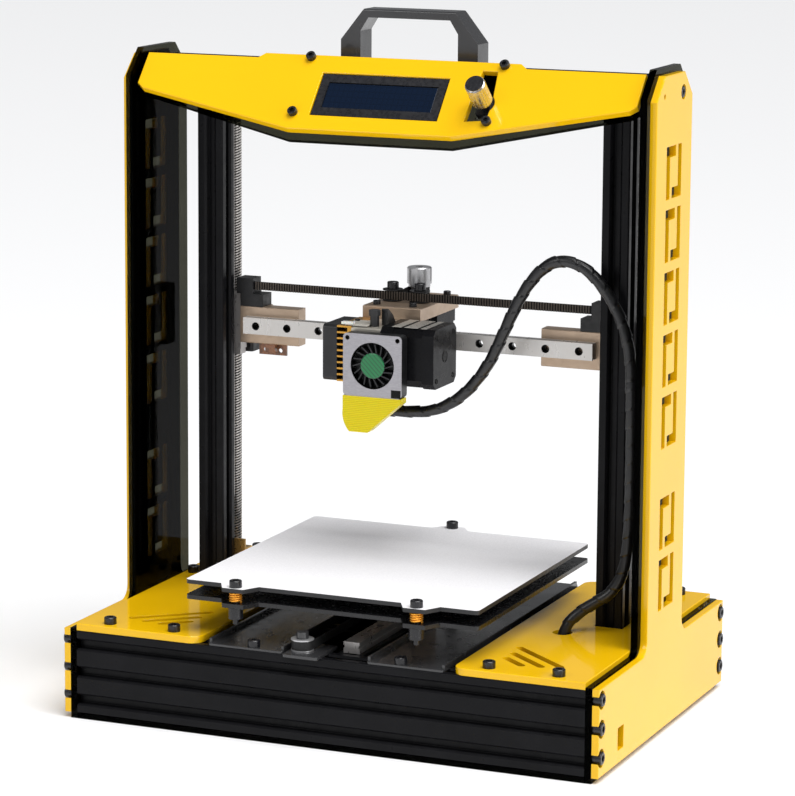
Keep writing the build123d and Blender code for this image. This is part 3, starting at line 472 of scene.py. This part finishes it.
def carrier_black():
    """Satin black plate."""
    look = Look("carrier_black", (0.006, 0.006, 0.007), 0.22)
    look.soft_edges(0.4 * MM)
    look.wear(20, 0.3)
    look.rough(look.noise(200, 4), 0.2, 0.36)
    look.bump(look.noise(1200, 2), 0.05, 0.05 * MM)
    return look.material


def display_frame():
    """Black bezel of the display."""
    look = Look("display_frame", (0.010, 0.010, 0.012), 0.3)
    look.wear(90, 0.3)
    look.rough(look.noise(400, 3), 0.22, 0.4)
    look.bump(look.noise(2000, 2), 0.08, 0.04 * MM)
    return look.material


def display_glass():
    """Unlit blue display with faint rows of character cells."""
    look = Look("display_glass", (0.002, 0.005, 0.014), 0.05)
    columns = look.above(look.ripples("X", 3.9 * MM), 0.12)
    rows = look.above(look.ripples("Z", 3.7 * MM), 0.12)
    look.tint(look.product(columns, rows), (0.0018, 0.0065, 0.019), (0.0021, 0.0075, 0.022))
    look.rough(look.noise(120, 3), 0.04, 0.1)
    return look.set(Specular_IOR_Level=0.3).material


def circuit_board(name, color):
    """Solder mask with copper tracks under it."""
    look = Look(name, color, 0.3)
    tracks = look.spread(look.noise(260, 1, (1, 0.2, 1)), 0, 1, 0.48, 0.52)
    look.tint(tracks, color, tuple(channel * 1.7 for channel in color))
    look.rough(look.noise(500, 3), 0.22, 0.4)
    look.bump(tracks, 0.1, 0.04 * MM)
    return look.set(Coat_Weight=0.4).material


def loom_wrap():
    """Black polyethylene wrap with scuffs."""
    look = Look("loom_wrap", (0.006, 0.006, 0.007), 0.32)
    look.wear(120, 0.35)
    look.rough(look.noise(400, 4), 0.26, 0.5)
    look.bump(look.noise(1100, 3), 0.15, 0.1 * MM)
    return look.set(Coat_Weight=0.15).material


def fan_plastic():
    """Moulded fan plastic with a spark-eroded skin."""
    look = Look("fan_plastic", (0.008, 0.008, 0.010), 0.4)
    look.soft_edges(0.3 * MM)
    look.wear(150, 0.25)
    look.rough(look.noise(500, 3), 0.34, 0.52)
    look.bump(look.noise(2200, 2), 0.12, 0.04 * MM)
    return look.material


def blower_shell():
    """Black shell behind a brushed aluminium front sheet."""
    sheet_back = -40.4 * MM
    look = Look("blower_shell", (0.5, 0.5, 0.51), 0.3)
    behind = look.above(look.axis("Y"), sheet_back)
    grain = look.spread(look.noise(500, 3, (1, 1, 8)), 0, 1)
    front = look.mix(grain, (0.32, 0.31, 0.335), (0.41, 0.40, 0.425))
    look.tint(behind, front, (0.007, 0.007, 0.008))
    look.links.new(look.spread(behind, 0.7, 0.0, 0, 1), look.shader.inputs["Metallic"])
    look.rough(look.noise(500, 3, (1, 1, 6)), 0.28, 0.42)
    look.bump(look.noise(1500, 2, (1, 1, 8)), 0.06, 0.04 * MM)
    return look.material


def hub_label():
    """Green printed label with diagonal hatching."""
    look = Look("hub_label", tuple(settings().label_color), 0.35)
    turned = look.nodes.new("ShaderNodeMapping")
    turned.inputs["Rotation"].default_value = (0, math.radians(45), 0)
    look.links.new(look.coords, turned.inputs["Vector"])
    apart = look.nodes.new("ShaderNodeSeparateXYZ")
    look.links.new(turned.outputs["Vector"], apart.inputs["Vector"])
    hatch = look.spread(look.sine(apart.outputs["X"], 2.4 * MM), 0, 1, 0.2, 0.9)
    look.tint(hatch, look.color, (0.0, 0.075, 0.022))
    look.rough(look.noise(600, 3), 0.28, 0.42)
    return look.set(Coat_Weight=0.3).material


def machined_brass():
    """Brass with dark heat stains."""
    look = Look("machined_brass", (0.60, 0.40, 0.15), 0.3, 0.9)
    look.soft_edges(0.3 * MM)
    look.wear(120, 0.3)
    look.rough(look.noise(600, 3), 0.22, 0.45)
    look.bump(look.noise(1800, 2), 0.08, 0.04 * MM)
    return look.material


def extruder_metal():
    """Pale machined block, with black plastic above its top face."""
    metal = (0.55, 0.52, 0.46)
    metal_top = 276.2 * MM
    look = Look("extruder_metal", metal, 0.35, 0.6)
    top = look.above(look.axis("Z"), metal_top)
    look.tint(top, metal, (0.015, 0.015, 0.016))
    look.links.new(look.spread(top, 0.6, 0.0, 0, 1), look.shader.inputs["Metallic"])
    look.rough(look.noise(400, 3), 0.28, 0.44)
    look.bump(look.noise(1500, 2), 0.08, 0.05 * MM)
    return look.material


def pale_plate():
    """Pale satin plate with a fine grain."""
    look = Look("pale_plate", (0.55, 0.52, 0.46), 0.35)
    look.wear(150, 0.1)
    look.rough(look.noise(400, 3), 0.28, 0.44)
    look.bump(look.noise(1200, 2), 0.05, 0.03 * MM)
    return look.material


def lamination_steel():
    """Bare steel laminations, with their sheet lines."""
    look = Look("lamination_steel", (0.55, 0.53, 0.49), 0.3, 0.5)
    look.tint(look.ripples("X", 1.1 * MM), (0.40, 0.38, 0.35), (0.60, 0.58, 0.53))
    look.rough(look.noise(400, 3), 0.24, 0.4)
    return look.material


def black_and_well_shade():
    """Matte near black of recessed screws, partly painted shade, and painted shade in wells."""
    look = Look("black_and_well_shade", (0.002, 0.002, 0.002), 0.5)
    look.rough(look.noise(700, 3), 0.4, 0.6)
    look.wear(300, 0.4)
    return look.set(Specular_IOR_Level=0.2).material


def white_nylon():
    """Slightly translucent connector plastic."""
    look = Look("white_nylon", (0.78, 0.78, 0.74), 0.4)
    look.wear(200, 0.04)
    look.rough(look.noise(600, 3), 0.32, 0.48)
    return look.set(Subsurface_Weight=0.15, Subsurface_Scale=0.6 * MM).material


def studio_floor():
    """White floor with a faint sheen."""
    look = Look("studio_floor", (0.965, 0.965, 0.97), 0.28)
    return look.set(Specular_IOR_Level=0.3).material


FINISHES = {
    yellow_acrylic: ["left_outer_panel", "right_outer_panel", "decks", "front_panel"],
    smoked_acrylic: ["inner_panels", "bottom_panel", "backing_panel"],
    black_anodised: ["base_beams", "cross_beam", "y_beam", "columns", "top_beam"],
    champagne_metal: ["x_brackets", "carriage_plate", "bed_spacer"],
    gantry_rail: ["x_guide_rail"],
    rail_steel: ["frame_rails", "x_guide_block", "z_guide_blocks", "y_guide_block"],
    dark_steel: ["floor_trays", "carry_handle", "belt_brackets"],
    motor_black: ["frame_motors", "x_motor", "extruder_motor"],
    black_plastic: ["nut_blocks", "belt_clamps", "left_x_idler", "right_x_idler"],
    black_oxide: ["frame_screws", "carriage_screws", "level_screws"],
    turned_silver: ["x_pulley", "y_idler", "y_pulley", "encoder_shaft"],
    knob_metal: ["knob"],
    gold_fins: ["heatsink"],
    belt_rubber: ["y_belt", "x_belt_loop"],
    lemon_print: ["air_duct"],
    build_plate: ["heated_bed"],
    carrier_black: ["bed_carrier"],
    display_frame: ["display_module"],
    fan_plastic: ["fan_frame", "fan_rotor", "blower_impeller"],
    blower_shell: ["blower_case"],
    machined_brass: ["z_endstop", "hot_end"],
    extruder_metal: ["extruder_body"],
}


# ---------------------------------------------------------------- mesh tools
def deselect():
    """Nothing is selected or active afterwards."""
    if bpy.context.object and bpy.context.object.mode != "OBJECT":
        bpy.ops.object.mode_set(mode="OBJECT")
    bpy.ops.object.select_all(action="DESELECT")


def select(piece):
    """Makes one piece the only selected and the active one."""
    deselect()
    piece.select_set(True)
    bpy.context.view_layer.objects.active = piece


def settle(piece, name, material, body):
    """Names a finished piece, moves its place into its mesh, and lets it ride."""
    select(piece)
    bpy.ops.object.transform_apply(location=True, rotation=True, scale=True)
    piece.name = name
    piece.data.name = name
    piece.data.materials.clear()
    piece.data.materials.append(material)
    if body:
        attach(piece, body)
    return piece


def apply_modifier(piece, kind, **values):
    """Adds a modifier, sets it and applies it."""
    select(piece)
    modifier = piece.modifiers.new(kind.title(), kind)
    for key, value in values.items():
        setattr(modifier, key, value)
    bpy.ops.object.modifier_apply(modifier=modifier.name)


def block(size, middle, bevel):
    """A box with rounded edges."""
    deselect()
    bpy.ops.mesh.primitive_cube_add(size=1, location=middle)
    piece = bpy.context.object
    piece.scale = size
    bpy.ops.object.transform_apply(location=False, rotation=False, scale=True)
    apply_modifier(piece, "BEVEL", width=bevel, segments=2)
    return piece


def join(pieces):
    """Joins several meshes into the first one."""
    deselect()
    for piece in pieces:
        piece.select_set(True)
    bpy.context.view_layer.objects.active = pieces[0]
    bpy.ops.object.join()
    return bpy.context.object


def face_towards(piece, letter):
    """Selects the round end of a cylinder that faces up one axis of its mesh."""
    bpy.ops.object.mode_set(mode="EDIT")
    shape = bmesh.from_edit_mesh(piece.data)
    for face in shape.faces:
        face.select_set(len(face.verts) > 4 and getattr(face.normal, letter) > 0.9)
    bmesh.update_edit_mesh(piece.data)


def close_ends(piece, smooth_angle):
    """Fills both ends of a swept shape and turns its faces outwards."""
    select(piece)
    bpy.ops.object.mode_set(mode="EDIT")
    bpy.ops.mesh.select_all(action="SELECT")
    bpy.ops.mesh.fill_holes(sides=0)
    bpy.ops.mesh.select_all(action="SELECT")
    bpy.ops.mesh.normals_make_consistent(inside=False)
    bpy.ops.object.mode_set(mode="OBJECT")
    bpy.ops.object.shade_smooth_by_angle(angle=math.radians(smooth_angle))


def smooth_line(name, points):
    """A NURBS line with the route's points as its control points."""
    curve = bpy.data.curves.new(name, "CURVE")
    curve.dimensions = "3D"
    curve.resolution_u = 16
    spline = curve.splines.new("NURBS")
    spline.points.add(len(points) - 1)
    for place, point in zip(spline.points, points):
        place.co = (*(Vector(point) * MM), 1)
    spline.order_u = 3
    spline.use_endpoint_u = True
    return bpy.data.objects.new(name, curve)


def line_points(line):
    """The points along a curve that has no bevel."""
    bpy.context.scene.collection.objects.link(line)
    bpy.context.view_layer.update()
    depsgraph = bpy.context.evaluated_depsgraph_get()
    mesh = bpy.data.meshes.new_from_object(line.evaluated_get(depsgraph))
    points = [vertex.co.copy() for vertex in mesh.vertices]
    bpy.data.meshes.remove(mesh)
    bpy.data.objects.remove(line)
    return points


def evenly(points, step):
    """Walks a line in equal steps, so that a wrap has an even pitch."""
    lengths = [0.0]
    for start, end in zip(points, points[1:]):
        lengths.append(lengths[-1] + (end - start).length)
    count = max(2, round(lengths[-1] / step))
    walked = []
    index = 0
    for number in range(count + 1):
        target = lengths[-1] * number / count
        while index < len(points) - 2 and lengths[index + 1] < target:
            index += 1
        share = (target - lengths[index]) / (lengths[index + 1] - lengths[index])
        walked.append(points[index].lerp(points[index + 1], min(1, share)))
    return walked, lengths[-1]


def wrapped_tube(name, path, radius, pitch, seed):
    """A tube along a path, whose skin is a spiral wrap with lapped edges."""
    seed_set(seed)
    sides = 32
    core = radius - 1.0 * MM
    wrap = 0.95 * MM
    lump_size = 0.35 * MM
    lump_scale = 70
    walked, length = evenly(path, 0.8 * MM)
    mesh = bpy.data.meshes.new(name)
    shape = bmesh.new()
    across = Vector((0.31, 0.52, 0.79))
    previous = None
    rings = []
    for number, place in enumerate(walked):
        ahead = walked[min(number + 1, len(walked) - 1)] - walked[max(number - 1, 0)]
        ahead.normalize()
        across = (across - ahead * across.dot(ahead)).normalized()
        other = ahead.cross(across)
        run = length * number / (len(walked) - 1)
        lump = noise_vector(place * lump_scale).x * lump_size
        ring = []
        for side in range(sides):
            angle = 2 * math.pi * side / sides
            turn = (run / pitch - side / sides) % 1
            lap = min(turn / 0.06, 1, (1 - turn) / 0.02)
            reach = core + wrap * lap * (0.35 + 0.65 * turn) + lump
            outwards = across * math.cos(angle) + other * math.sin(angle)
            ring.append(shape.verts.new(place + outwards * reach))
        if previous:
            for side in range(sides):
                after = (side + 1) % sides
                shape.faces.new((previous[side], previous[after], ring[after], ring[side]))
        rings.append(ring)
        previous = ring
    shape.faces.new(list(reversed(rings[0])))
    shape.faces.new(rings[-1])
    bmesh.ops.recalc_face_normals(shape, faces=shape.faces)
    shape.to_mesh(mesh)
    shape.free()
    piece = bpy.data.objects.new(name, mesh)
    bpy.context.scene.collection.objects.link(piece)
    select(piece)
    bpy.ops.object.shade_smooth_by_angle(angle=math.radians(50))
    return piece, length


# ---------------------------------------------------------------- operators
class PRINTER_OT_stage(bpy.types.Operator):
    """Adds the white floor, the soft lights and the camera"""
    bl_idname = "printer.stage"
    bl_label = "Stage"

    def execute(self, context):
        scene = context.scene
        scene.view_settings.view_transform = "Standard"
        scene.view_settings.look = "None"
        deselect()
        bpy.ops.mesh.primitive_plane_add(size=60, location=(0, 0, 0))
        floor = context.object
        floor.name = "floor"
        floor.data.materials.append(studio_floor())

        self.white_room(scene)
        self.softbox("key_light", (-1.0, -2.2, 1.6), (0, 0, 0.25), 1.0, 12)
        self.softbox("side_light", (2.6, -0.7, 1.2), (0.1, 0, 0.25), 1.3, 26)
        self.sun((0.35, -0.2, 1), 3.7, 50)

        self.camera(scene)
        return {"FINISHED"}

    def camera(self, scene):
        """The camera, in front of the right corner and a little above."""
        data = bpy.data.cameras.new("camera")
        data.sensor_fit = "HORIZONTAL"
        data.sensor_width = CAMERA_SENSOR
        data.lens = CAMERA_LENS
        data.shift_x, data.shift_y = CAMERA_SHIFT
        data.clip_end = 100
        camera = bpy.data.objects.new("camera", data)
        yaw = Matrix.Rotation(CAMERA_YAW, 4, "Z")
        pitch = Matrix.Rotation(math.pi / 2 + CAMERA_PITCH, 4, "X")
        roll = Matrix.Rotation(CAMERA_ROLL, 4, "Z")
        camera.matrix_world = Matrix.Translation(CAMERA_PLACE) @ yaw @ pitch @ roll
        scene.collection.objects.link(camera)
        scene.camera = camera

    def white_room(self, scene):
        """A world that is white behind the object and dim in its reflections."""
        world = bpy.data.worlds.new("white_room")
        world.use_nodes = True
        nodes = world.node_tree.nodes
        links = world.node_tree.links
        backdrop = nodes["Background"]
        backdrop.inputs["Color"].default_value = (1, 1, 1, 1)
        backdrop.inputs["Strength"].default_value = 1.05
        room = nodes.new("ShaderNodeBackground")
        room.inputs["Color"].default_value = (0.95, 0.97, 1, 1)
        room.inputs["Strength"].default_value = 0.2
        rays = nodes.new("ShaderNodeLightPath")
        mix = nodes.new("ShaderNodeMixShader")
        links.new(rays.outputs["Is Camera Ray"], mix.inputs["Fac"])
        links.new(room.outputs["Background"], mix.inputs[1])
        links.new(backdrop.outputs["Background"], mix.inputs[2])
        links.new(mix.outputs["Shader"], nodes["World Output"].inputs["Surface"])
        scene.world = world

    def sun(self, place, power, spread):
        """A wide sun that lights the whole floor evenly."""
        data = bpy.data.lights.new("sky_light", "SUN")
        data.energy = power
        data.angle = math.radians(spread)
        light = bpy.data.objects.new("sky_light", data)
        self.aim(light, -Vector(place))
        bpy.context.scene.collection.objects.link(light)

    def softbox(self, name, place, target, size, power):
        """A square area light that looks at a target."""
        data = bpy.data.lights.new(name, "AREA")
        data.size = size
        data.energy = power
        light = bpy.data.objects.new(name, data)
        light.location = place
        self.aim(light, Vector(target) - Vector(place))
        bpy.context.scene.collection.objects.link(light)

    def aim(self, light, way):
        """Turns a light so that it shines one way."""
        light.rotation_euler = way.to_track_quat("-Z", "Y").to_euler()


class PRINTER_OT_looms(bpy.types.Operator):
    """Wraps the two cable looms"""
    bl_idname = "printer.looms"
    bl_label = "Cable looms"

    # The routes in millimetres: from the head over an arch to a point behind the right
    # bracket of the gantry, and from there down beside the column into the deck.
    upper = [(-8.5, -8, 214.5), (10, -8, 214.5), (31, -8, 217), (52, -8, 230), (69, -6, 252),
             (80, -5, 277), (92, -4, 304), (106, -2, 323), (121, -1, 330), (140, 0, 324),
             (157, 0.5, 304), (167, 0.5, 283), (171.5, 0.5, 262), (172, 0.5, 247)]
    lower = [(172, 0.5, 247), (173, 0.5, 217), (173, 0.5, 160), (171.5, -1, 118),
             (163, -4, 98), (147, -8, 88), (136, -13, 79), (131, -16, 70), (130, -17, 60)]

    def execute(self, context):
        material = loom_wrap()
        for name, points, bodies, seed in (
                ("loom_upper", self.upper, ("x_carriage", "gantry"), 3),
                ("loom_lower", self.lower, ("gantry", "frame"), 8)):
            path = line_points(smooth_line(name + "_line", points))
            piece, length = wrapped_tube(
                name + "_wrap", path, settings().loom_radius, settings().loom_pitch, seed)
            piece.data.materials.append(material)
            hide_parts(name)
            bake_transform(piece)
        return {"FINISHED"}


class PRINTER_OT_lead_screws(bpy.types.Operator):
    """Turns the two lead screws with their four-start thread"""
    bl_idname = "printer.lead_screws"
    bl_label = "Lead screws"

    def execute(self, context):
        material = thread_steel()
        for side in ("left", "right"):
            piece = self.thread(*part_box(side + "_lead_screw"))
            settle(piece, side + "_thread", material, side + "_screw")
            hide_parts(side + "_lead_screw")
        return {"FINISHED"}

    def thread(self, low, high):
        """A lobed circle, one lobe for each start, that rises as it turns."""
        starts = 4
        lobe_points = 12
        root_points = 5
        crest = 4 * MM
        root = 3.05 * MM
        height = high.z - low.z
        turns = height / settings().thread_lead
        steps = round(18 * turns)
        middle = (low + high) / 2
        deselect()
        bpy.ops.mesh.primitive_circle_add(
            vertices=lobe_points * starts, radius=crest, location=(0, 0, 0))
        piece = bpy.context.object
        bpy.ops.object.mode_set(mode="EDIT")
        bpy.ops.mesh.select_all(action="DESELECT")
        shape = bmesh.from_edit_mesh(piece.data)
        for index, vertex in enumerate(shape.verts):
            vertex.select_set(index % lobe_points < root_points)
        shape.select_flush_mode()
        bmesh.update_edit_mesh(piece.data)
        bpy.ops.transform.resize(value=(root / crest, root / crest, 1), center_override=(0, 0, 0))
        bpy.ops.object.mode_set(mode="OBJECT")
        apply_modifier(piece, "SCREW", axis="Z", angle=2 * math.pi * turns, screw_offset=height,
                       steps=steps, render_steps=steps, iterations=1)
        close_ends(piece, 30)
        piece.location = (middle.x, middle.y, low.z)
        return piece


class PRINTER_OT_springs(bpy.types.Operator):
    """Winds the three springs under the build plate"""
    bl_idname = "printer.springs"
    bl_label = "Levelling springs"

    def execute(self, context):
        low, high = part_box("level_springs")
        reach = 4.6 * MM
        places = ((low.x + reach, low.y + reach), (high.x - reach, low.y + reach),
                  ((low.x + high.x) / 2, high.y - reach))
        piece = join([self.coil(x, y, low.z, high.z, reach) for x, y in places])
        settle(piece, "wound_springs", spring_brass(), "bed")
        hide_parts("level_springs")
        return {"FINISHED"}

    def coil(self, x, y, bottom, top, reach):
        """Round wire wound into one spring."""
        wire = settings().wire_radius
        turns = 4
        steps = 28 * turns
        deselect()
        bpy.ops.mesh.primitive_circle_add(
            vertices=10, radius=wire, location=(reach - wire, 0, 0), rotation=(math.pi / 2, 0, 0))
        piece = bpy.context.object
        bpy.ops.object.transform_apply(location=True, rotation=True, scale=True)
        apply_modifier(piece, "SCREW", axis="Z", angle=2 * math.pi * turns,
                       screw_offset=top - bottom - 2 * wire, steps=steps, render_steps=steps,
                       iterations=1)
        close_ends(piece, 60)
        piece.location = (x, y, bottom + wire)
        return piece


class PRINTER_OT_toothed_belt(bpy.types.Operator):
    """Cuts the straight belt of the gantry with its teeth to the front"""
    bl_idname = "printer.toothed_belt"
    bl_label = "Toothed belt"

    def execute(self, context):
        low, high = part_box("x_belt")
        middle = (low + high) / 2
        pitch = settings().belt_pitch
        back = 0.6 * MM
        tooth_depth = 0.75 * MM
        tooth_place = high.y - back - 0.34 * MM
        length = high.x - low.x
        height = high.z - low.z
        count = int(length / pitch)
        strip = block((length, back, height), (middle.x, high.y - back / 2, middle.z), 0.1 * MM)
        tooth = block((pitch * 0.55, tooth_depth, height),
                      (low.x + pitch / 2, tooth_place, middle.z), 0.2 * MM)
        apply_modifier(tooth, "ARRAY", count=count, use_relative_offset=False,
                       use_constant_offset=True, constant_offset_displace=(pitch, 0, 0))
        piece = join([strip, tooth])
        settle(piece, "toothed_belt", toothed_rubber(), "gantry")
        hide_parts("x_belt")
        return {"FINISHED"}


class PRINTER_OT_display(bpy.types.Operator):
    """Sets the glass of the display in its bezel"""
    bl_idname = "printer.display"
    bl_label = "Display glass"

    def execute(self, context):
        deselect()
        drop = 2 * MM
        sink = 1.55 * MM
        piece = block((81.4 * MM, 21.2 * MM, 0.8 * MM), (0, 0, 0), 0.2 * MM)
        place = PANEL_POINT - PANEL_UP * drop - PANEL_NORMAL * sink
        piece.matrix_world = Matrix(((1, 0, 0, place.x), (0, PANEL_UP.y, PANEL_NORMAL.y, place.y),
                                     (0, PANEL_UP.z, PANEL_NORMAL.z, place.z), (0, 0, 0, 1)))
        settle(piece, "display_glass", display_glass(), "frame")
        return {"FINISHED"}


class PRINTER_OT_hub_label(bpy.types.Operator):
    """Sticks the round label on the blower's hub"""
    bl_idname = "printer.hub_label"
    bl_label = "Hub label"

    def execute(self, context):
        low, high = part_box("blower_impeller")
        middle = (low + high) / 2
        deselect()
        bpy.ops.mesh.primitive_cylinder_add(
            vertices=64, radius=8.9 * MM, depth=0.5 * MM, rotation=(math.pi / 2, 0, 0),
            location=(middle.x, low.y - 0.2 * MM, middle.z))
        piece = context.object
        face_towards(piece, "z")
        bpy.ops.mesh.inset(thickness=0.5 * MM, depth=0.15 * MM)
        bpy.ops.object.mode_set(mode="OBJECT")
        settle(piece, "hub_label", hub_label(), "blower_impeller")
        return {"FINISHED"}


class PRINTER_OT_head_details(bpy.types.Operator):
    """Adds the top plates, caps and cover details of the print head"""
    bl_idname = "printer.head_details"
    bl_label = "Print head details"

    def execute(self, context):
        self.top_plate()
        self.motor_strips()
        self.motor_cap()
        self.connector()
        self.cover_notch()
        return {"FINISHED"}

    def top_plate(self):
        """The pale clamp plate on the extruder, with two button screws."""
        low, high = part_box("heatsink")
        thickness = 1.2 * MM
        middle = Vector((low.x + 14 * MM, low.y + 11 * MM, high.z + thickness / 2 + 0.05 * MM))
        plate = block((17 * MM, 20 * MM, thickness), middle, 0.3 * MM)
        settle(plate, "clamp_plate", pale_plate(), "x_carriage")
        screws = []
        for x, y in ((-5.5, -4), (-5.5, 6)):
            deselect()
            bpy.ops.mesh.primitive_cylinder_add(
                vertices=24, radius=1.9 * MM, depth=1.2 * MM,
                location=middle + Vector((x * MM, y * MM, thickness)))
            screw = bpy.context.object
            apply_modifier(screw, "BEVEL", width=0.4 * MM, segments=2)
            screws.append(screw)
        piece = join(screws)
        settle(piece, "clamp_screws", black_oxide(), "x_carriage")

    def motor_strips(self):
        """Bare laminations that show as bright bands on the motor's top."""
        low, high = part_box("extruder_motor")
        bands = []
        for start, width in ((9, 7), (18.5, 10), (31, 4.5)):
            along = low.x + (start + width / 2) * MM
            middle = Vector((along, (low.y + high.y) / 2, high.z + 0.12 * MM))
            bands.append(block((width * MM, 33 * MM, 0.24 * MM), middle, 0.08 * MM))
        piece = join(bands)
        settle(piece, "motor_bands", lamination_steel(), "x_carriage")

    def motor_cap(self):
        """The four screws in the motor's end, and a disc of painted shade in its shaft well."""
        low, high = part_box("extruder_motor")
        middle = (low + high) / 2
        pieces = []
        apart = 15.5
        # Painted shade: the 4.2 mm disc stands for the dark inside the shaft well; the 1.9 mm
        # discs are the screws.
        for y, z, radius in ((0, 0, 4.2), (-apart, -apart, 1.9), (apart, -apart, 1.9),
                             (-apart, apart, 1.9), (apart, apart, 1.9)):
            deselect()
            bpy.ops.mesh.primitive_cylinder_add(
                vertices=32, radius=radius * MM, depth=0.4 * MM, rotation=(0, math.pi / 2, 0),
                location=(high.x + 0.1 * MM, middle.y + y * MM, middle.z + z * MM))
            cap = bpy.context.object
            bpy.ops.object.transform_apply(location=True, rotation=True, scale=True)
            face_towards(cap, "x")
            bpy.ops.mesh.inset(thickness=0.5 * MM, depth=-0.25 * MM)
            bpy.ops.object.mode_set(mode="OBJECT")
            pieces.append(cap)
        settle(join(pieces), "motor_end_details", black_and_well_shade(), "x_carriage")

    def connector(self):
        """The small white plug in front of the heat sink."""
        low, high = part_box("heatsink")
        middle = Vector((low.x + 8 * MM, low.y + 1.5 * MM, high.z + 2.1 * MM))
        shell = block((9 * MM, 4.5 * MM, 1.8 * MM), middle, 0.35 * MM)
        settle(shell, "white_plug", white_nylon(), "x_carriage")

    def cover_notch(self):
        """The dark corner of the blower's cover, with its screw."""
        low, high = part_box("blower_case")
        middle = Vector((high.x - 4.2 * MM, low.y + 0.1 * MM, low.z + 3.4 * MM))
        patch = block((7.4 * MM, 0.35 * MM, 5.8 * MM), middle, 0.15 * MM)
        deselect()
        bpy.ops.mesh.primitive_cylinder_add(
            vertices=24, radius=2 * MM, depth=0.7 * MM, rotation=(math.pi / 2, 0, 0),
            location=middle + Vector((0.4 * MM, -0.1 * MM, 0)))
        screw = bpy.context.object
        apply_modifier(screw, "BEVEL", width=0.2 * MM, segments=2)
        settle(join([patch, screw]), "cover_notch", black_and_well_shade(), "x_carriage")


class PRINTER_OT_finishes(bpy.types.Operator):
    """Gives each CAD piece its material"""
    bl_idname = "printer.finishes"
    bl_label = "Finishes"

    def execute(self, context):
        for make, names in FINISHES.items():
            material = make()
            for name in names:
                self.paint(name, material)
        self.paint("controller_board", circuit_board("green_board", (0.01, 0.12, 0.05)))
        self.paint("x_endstop", circuit_board("brown_board", (0.16, 0.06, 0.02)))
        return {"FINISHED"}

    def paint(self, name, material):
        """Puts a material in every slot of a part."""
        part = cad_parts[name]
        if not part.material_slots:
            part.data.materials.append(material)
        for slot in part.material_slots:
            slot.material = material


class PRINTER_PT_panel(bpy.types.Panel):
    """Lists the printer's operators in the sidebar"""
    bl_label = "Printer"
    bl_space_type = "VIEW_3D"
    bl_region_type = "UI"
    bl_category = "Printer"

    def draw(self, context):
        for name in PrinterSettings.__annotations__:
            self.layout.prop(context.scene.printer_settings, name)
        for operator in OPERATORS:
            self.layout.operator(operator.bl_idname)


OPERATORS = (
    PRINTER_OT_stage,
    PRINTER_OT_looms,
    PRINTER_OT_lead_screws,
    PRINTER_OT_springs,
    PRINTER_OT_toothed_belt,
    PRINTER_OT_display,
    PRINTER_OT_hub_label,
    PRINTER_OT_head_details,
    PRINTER_OT_finishes,
)


def register():
    """Registers the classes and the settings."""
    bpy.utils.register_class(PrinterSettings)
    bpy.types.Scene.printer_settings = bpy.props.PointerProperty(type=PrinterSettings)
    for operator in OPERATORS:
        bpy.utils.register_class(operator)
    bpy.utils.register_class(PRINTER_PT_panel)


def unregister():
    """Takes the classes and the settings away again."""
    bpy.utils.unregister_class(PRINTER_PT_panel)
    for operator in reversed(OPERATORS):
        bpy.utils.unregister_class(operator)
    del bpy.types.Scene.printer_settings
    bpy.utils.unregister_class(PrinterSettings)


def main():
    """Runs every operator in order."""
    register()
    bpy.ops.printer.stage()
    bpy.ops.printer.looms()
    bpy.ops.printer.lead_screws()
    bpy.ops.printer.springs()
    bpy.ops.printer.toothed_belt()
    bpy.ops.printer.display()
    bpy.ops.printer.hub_label()
    bpy.ops.printer.head_details()
    bpy.ops.printer.finishes()


if __name__ == "__main__":
    main()
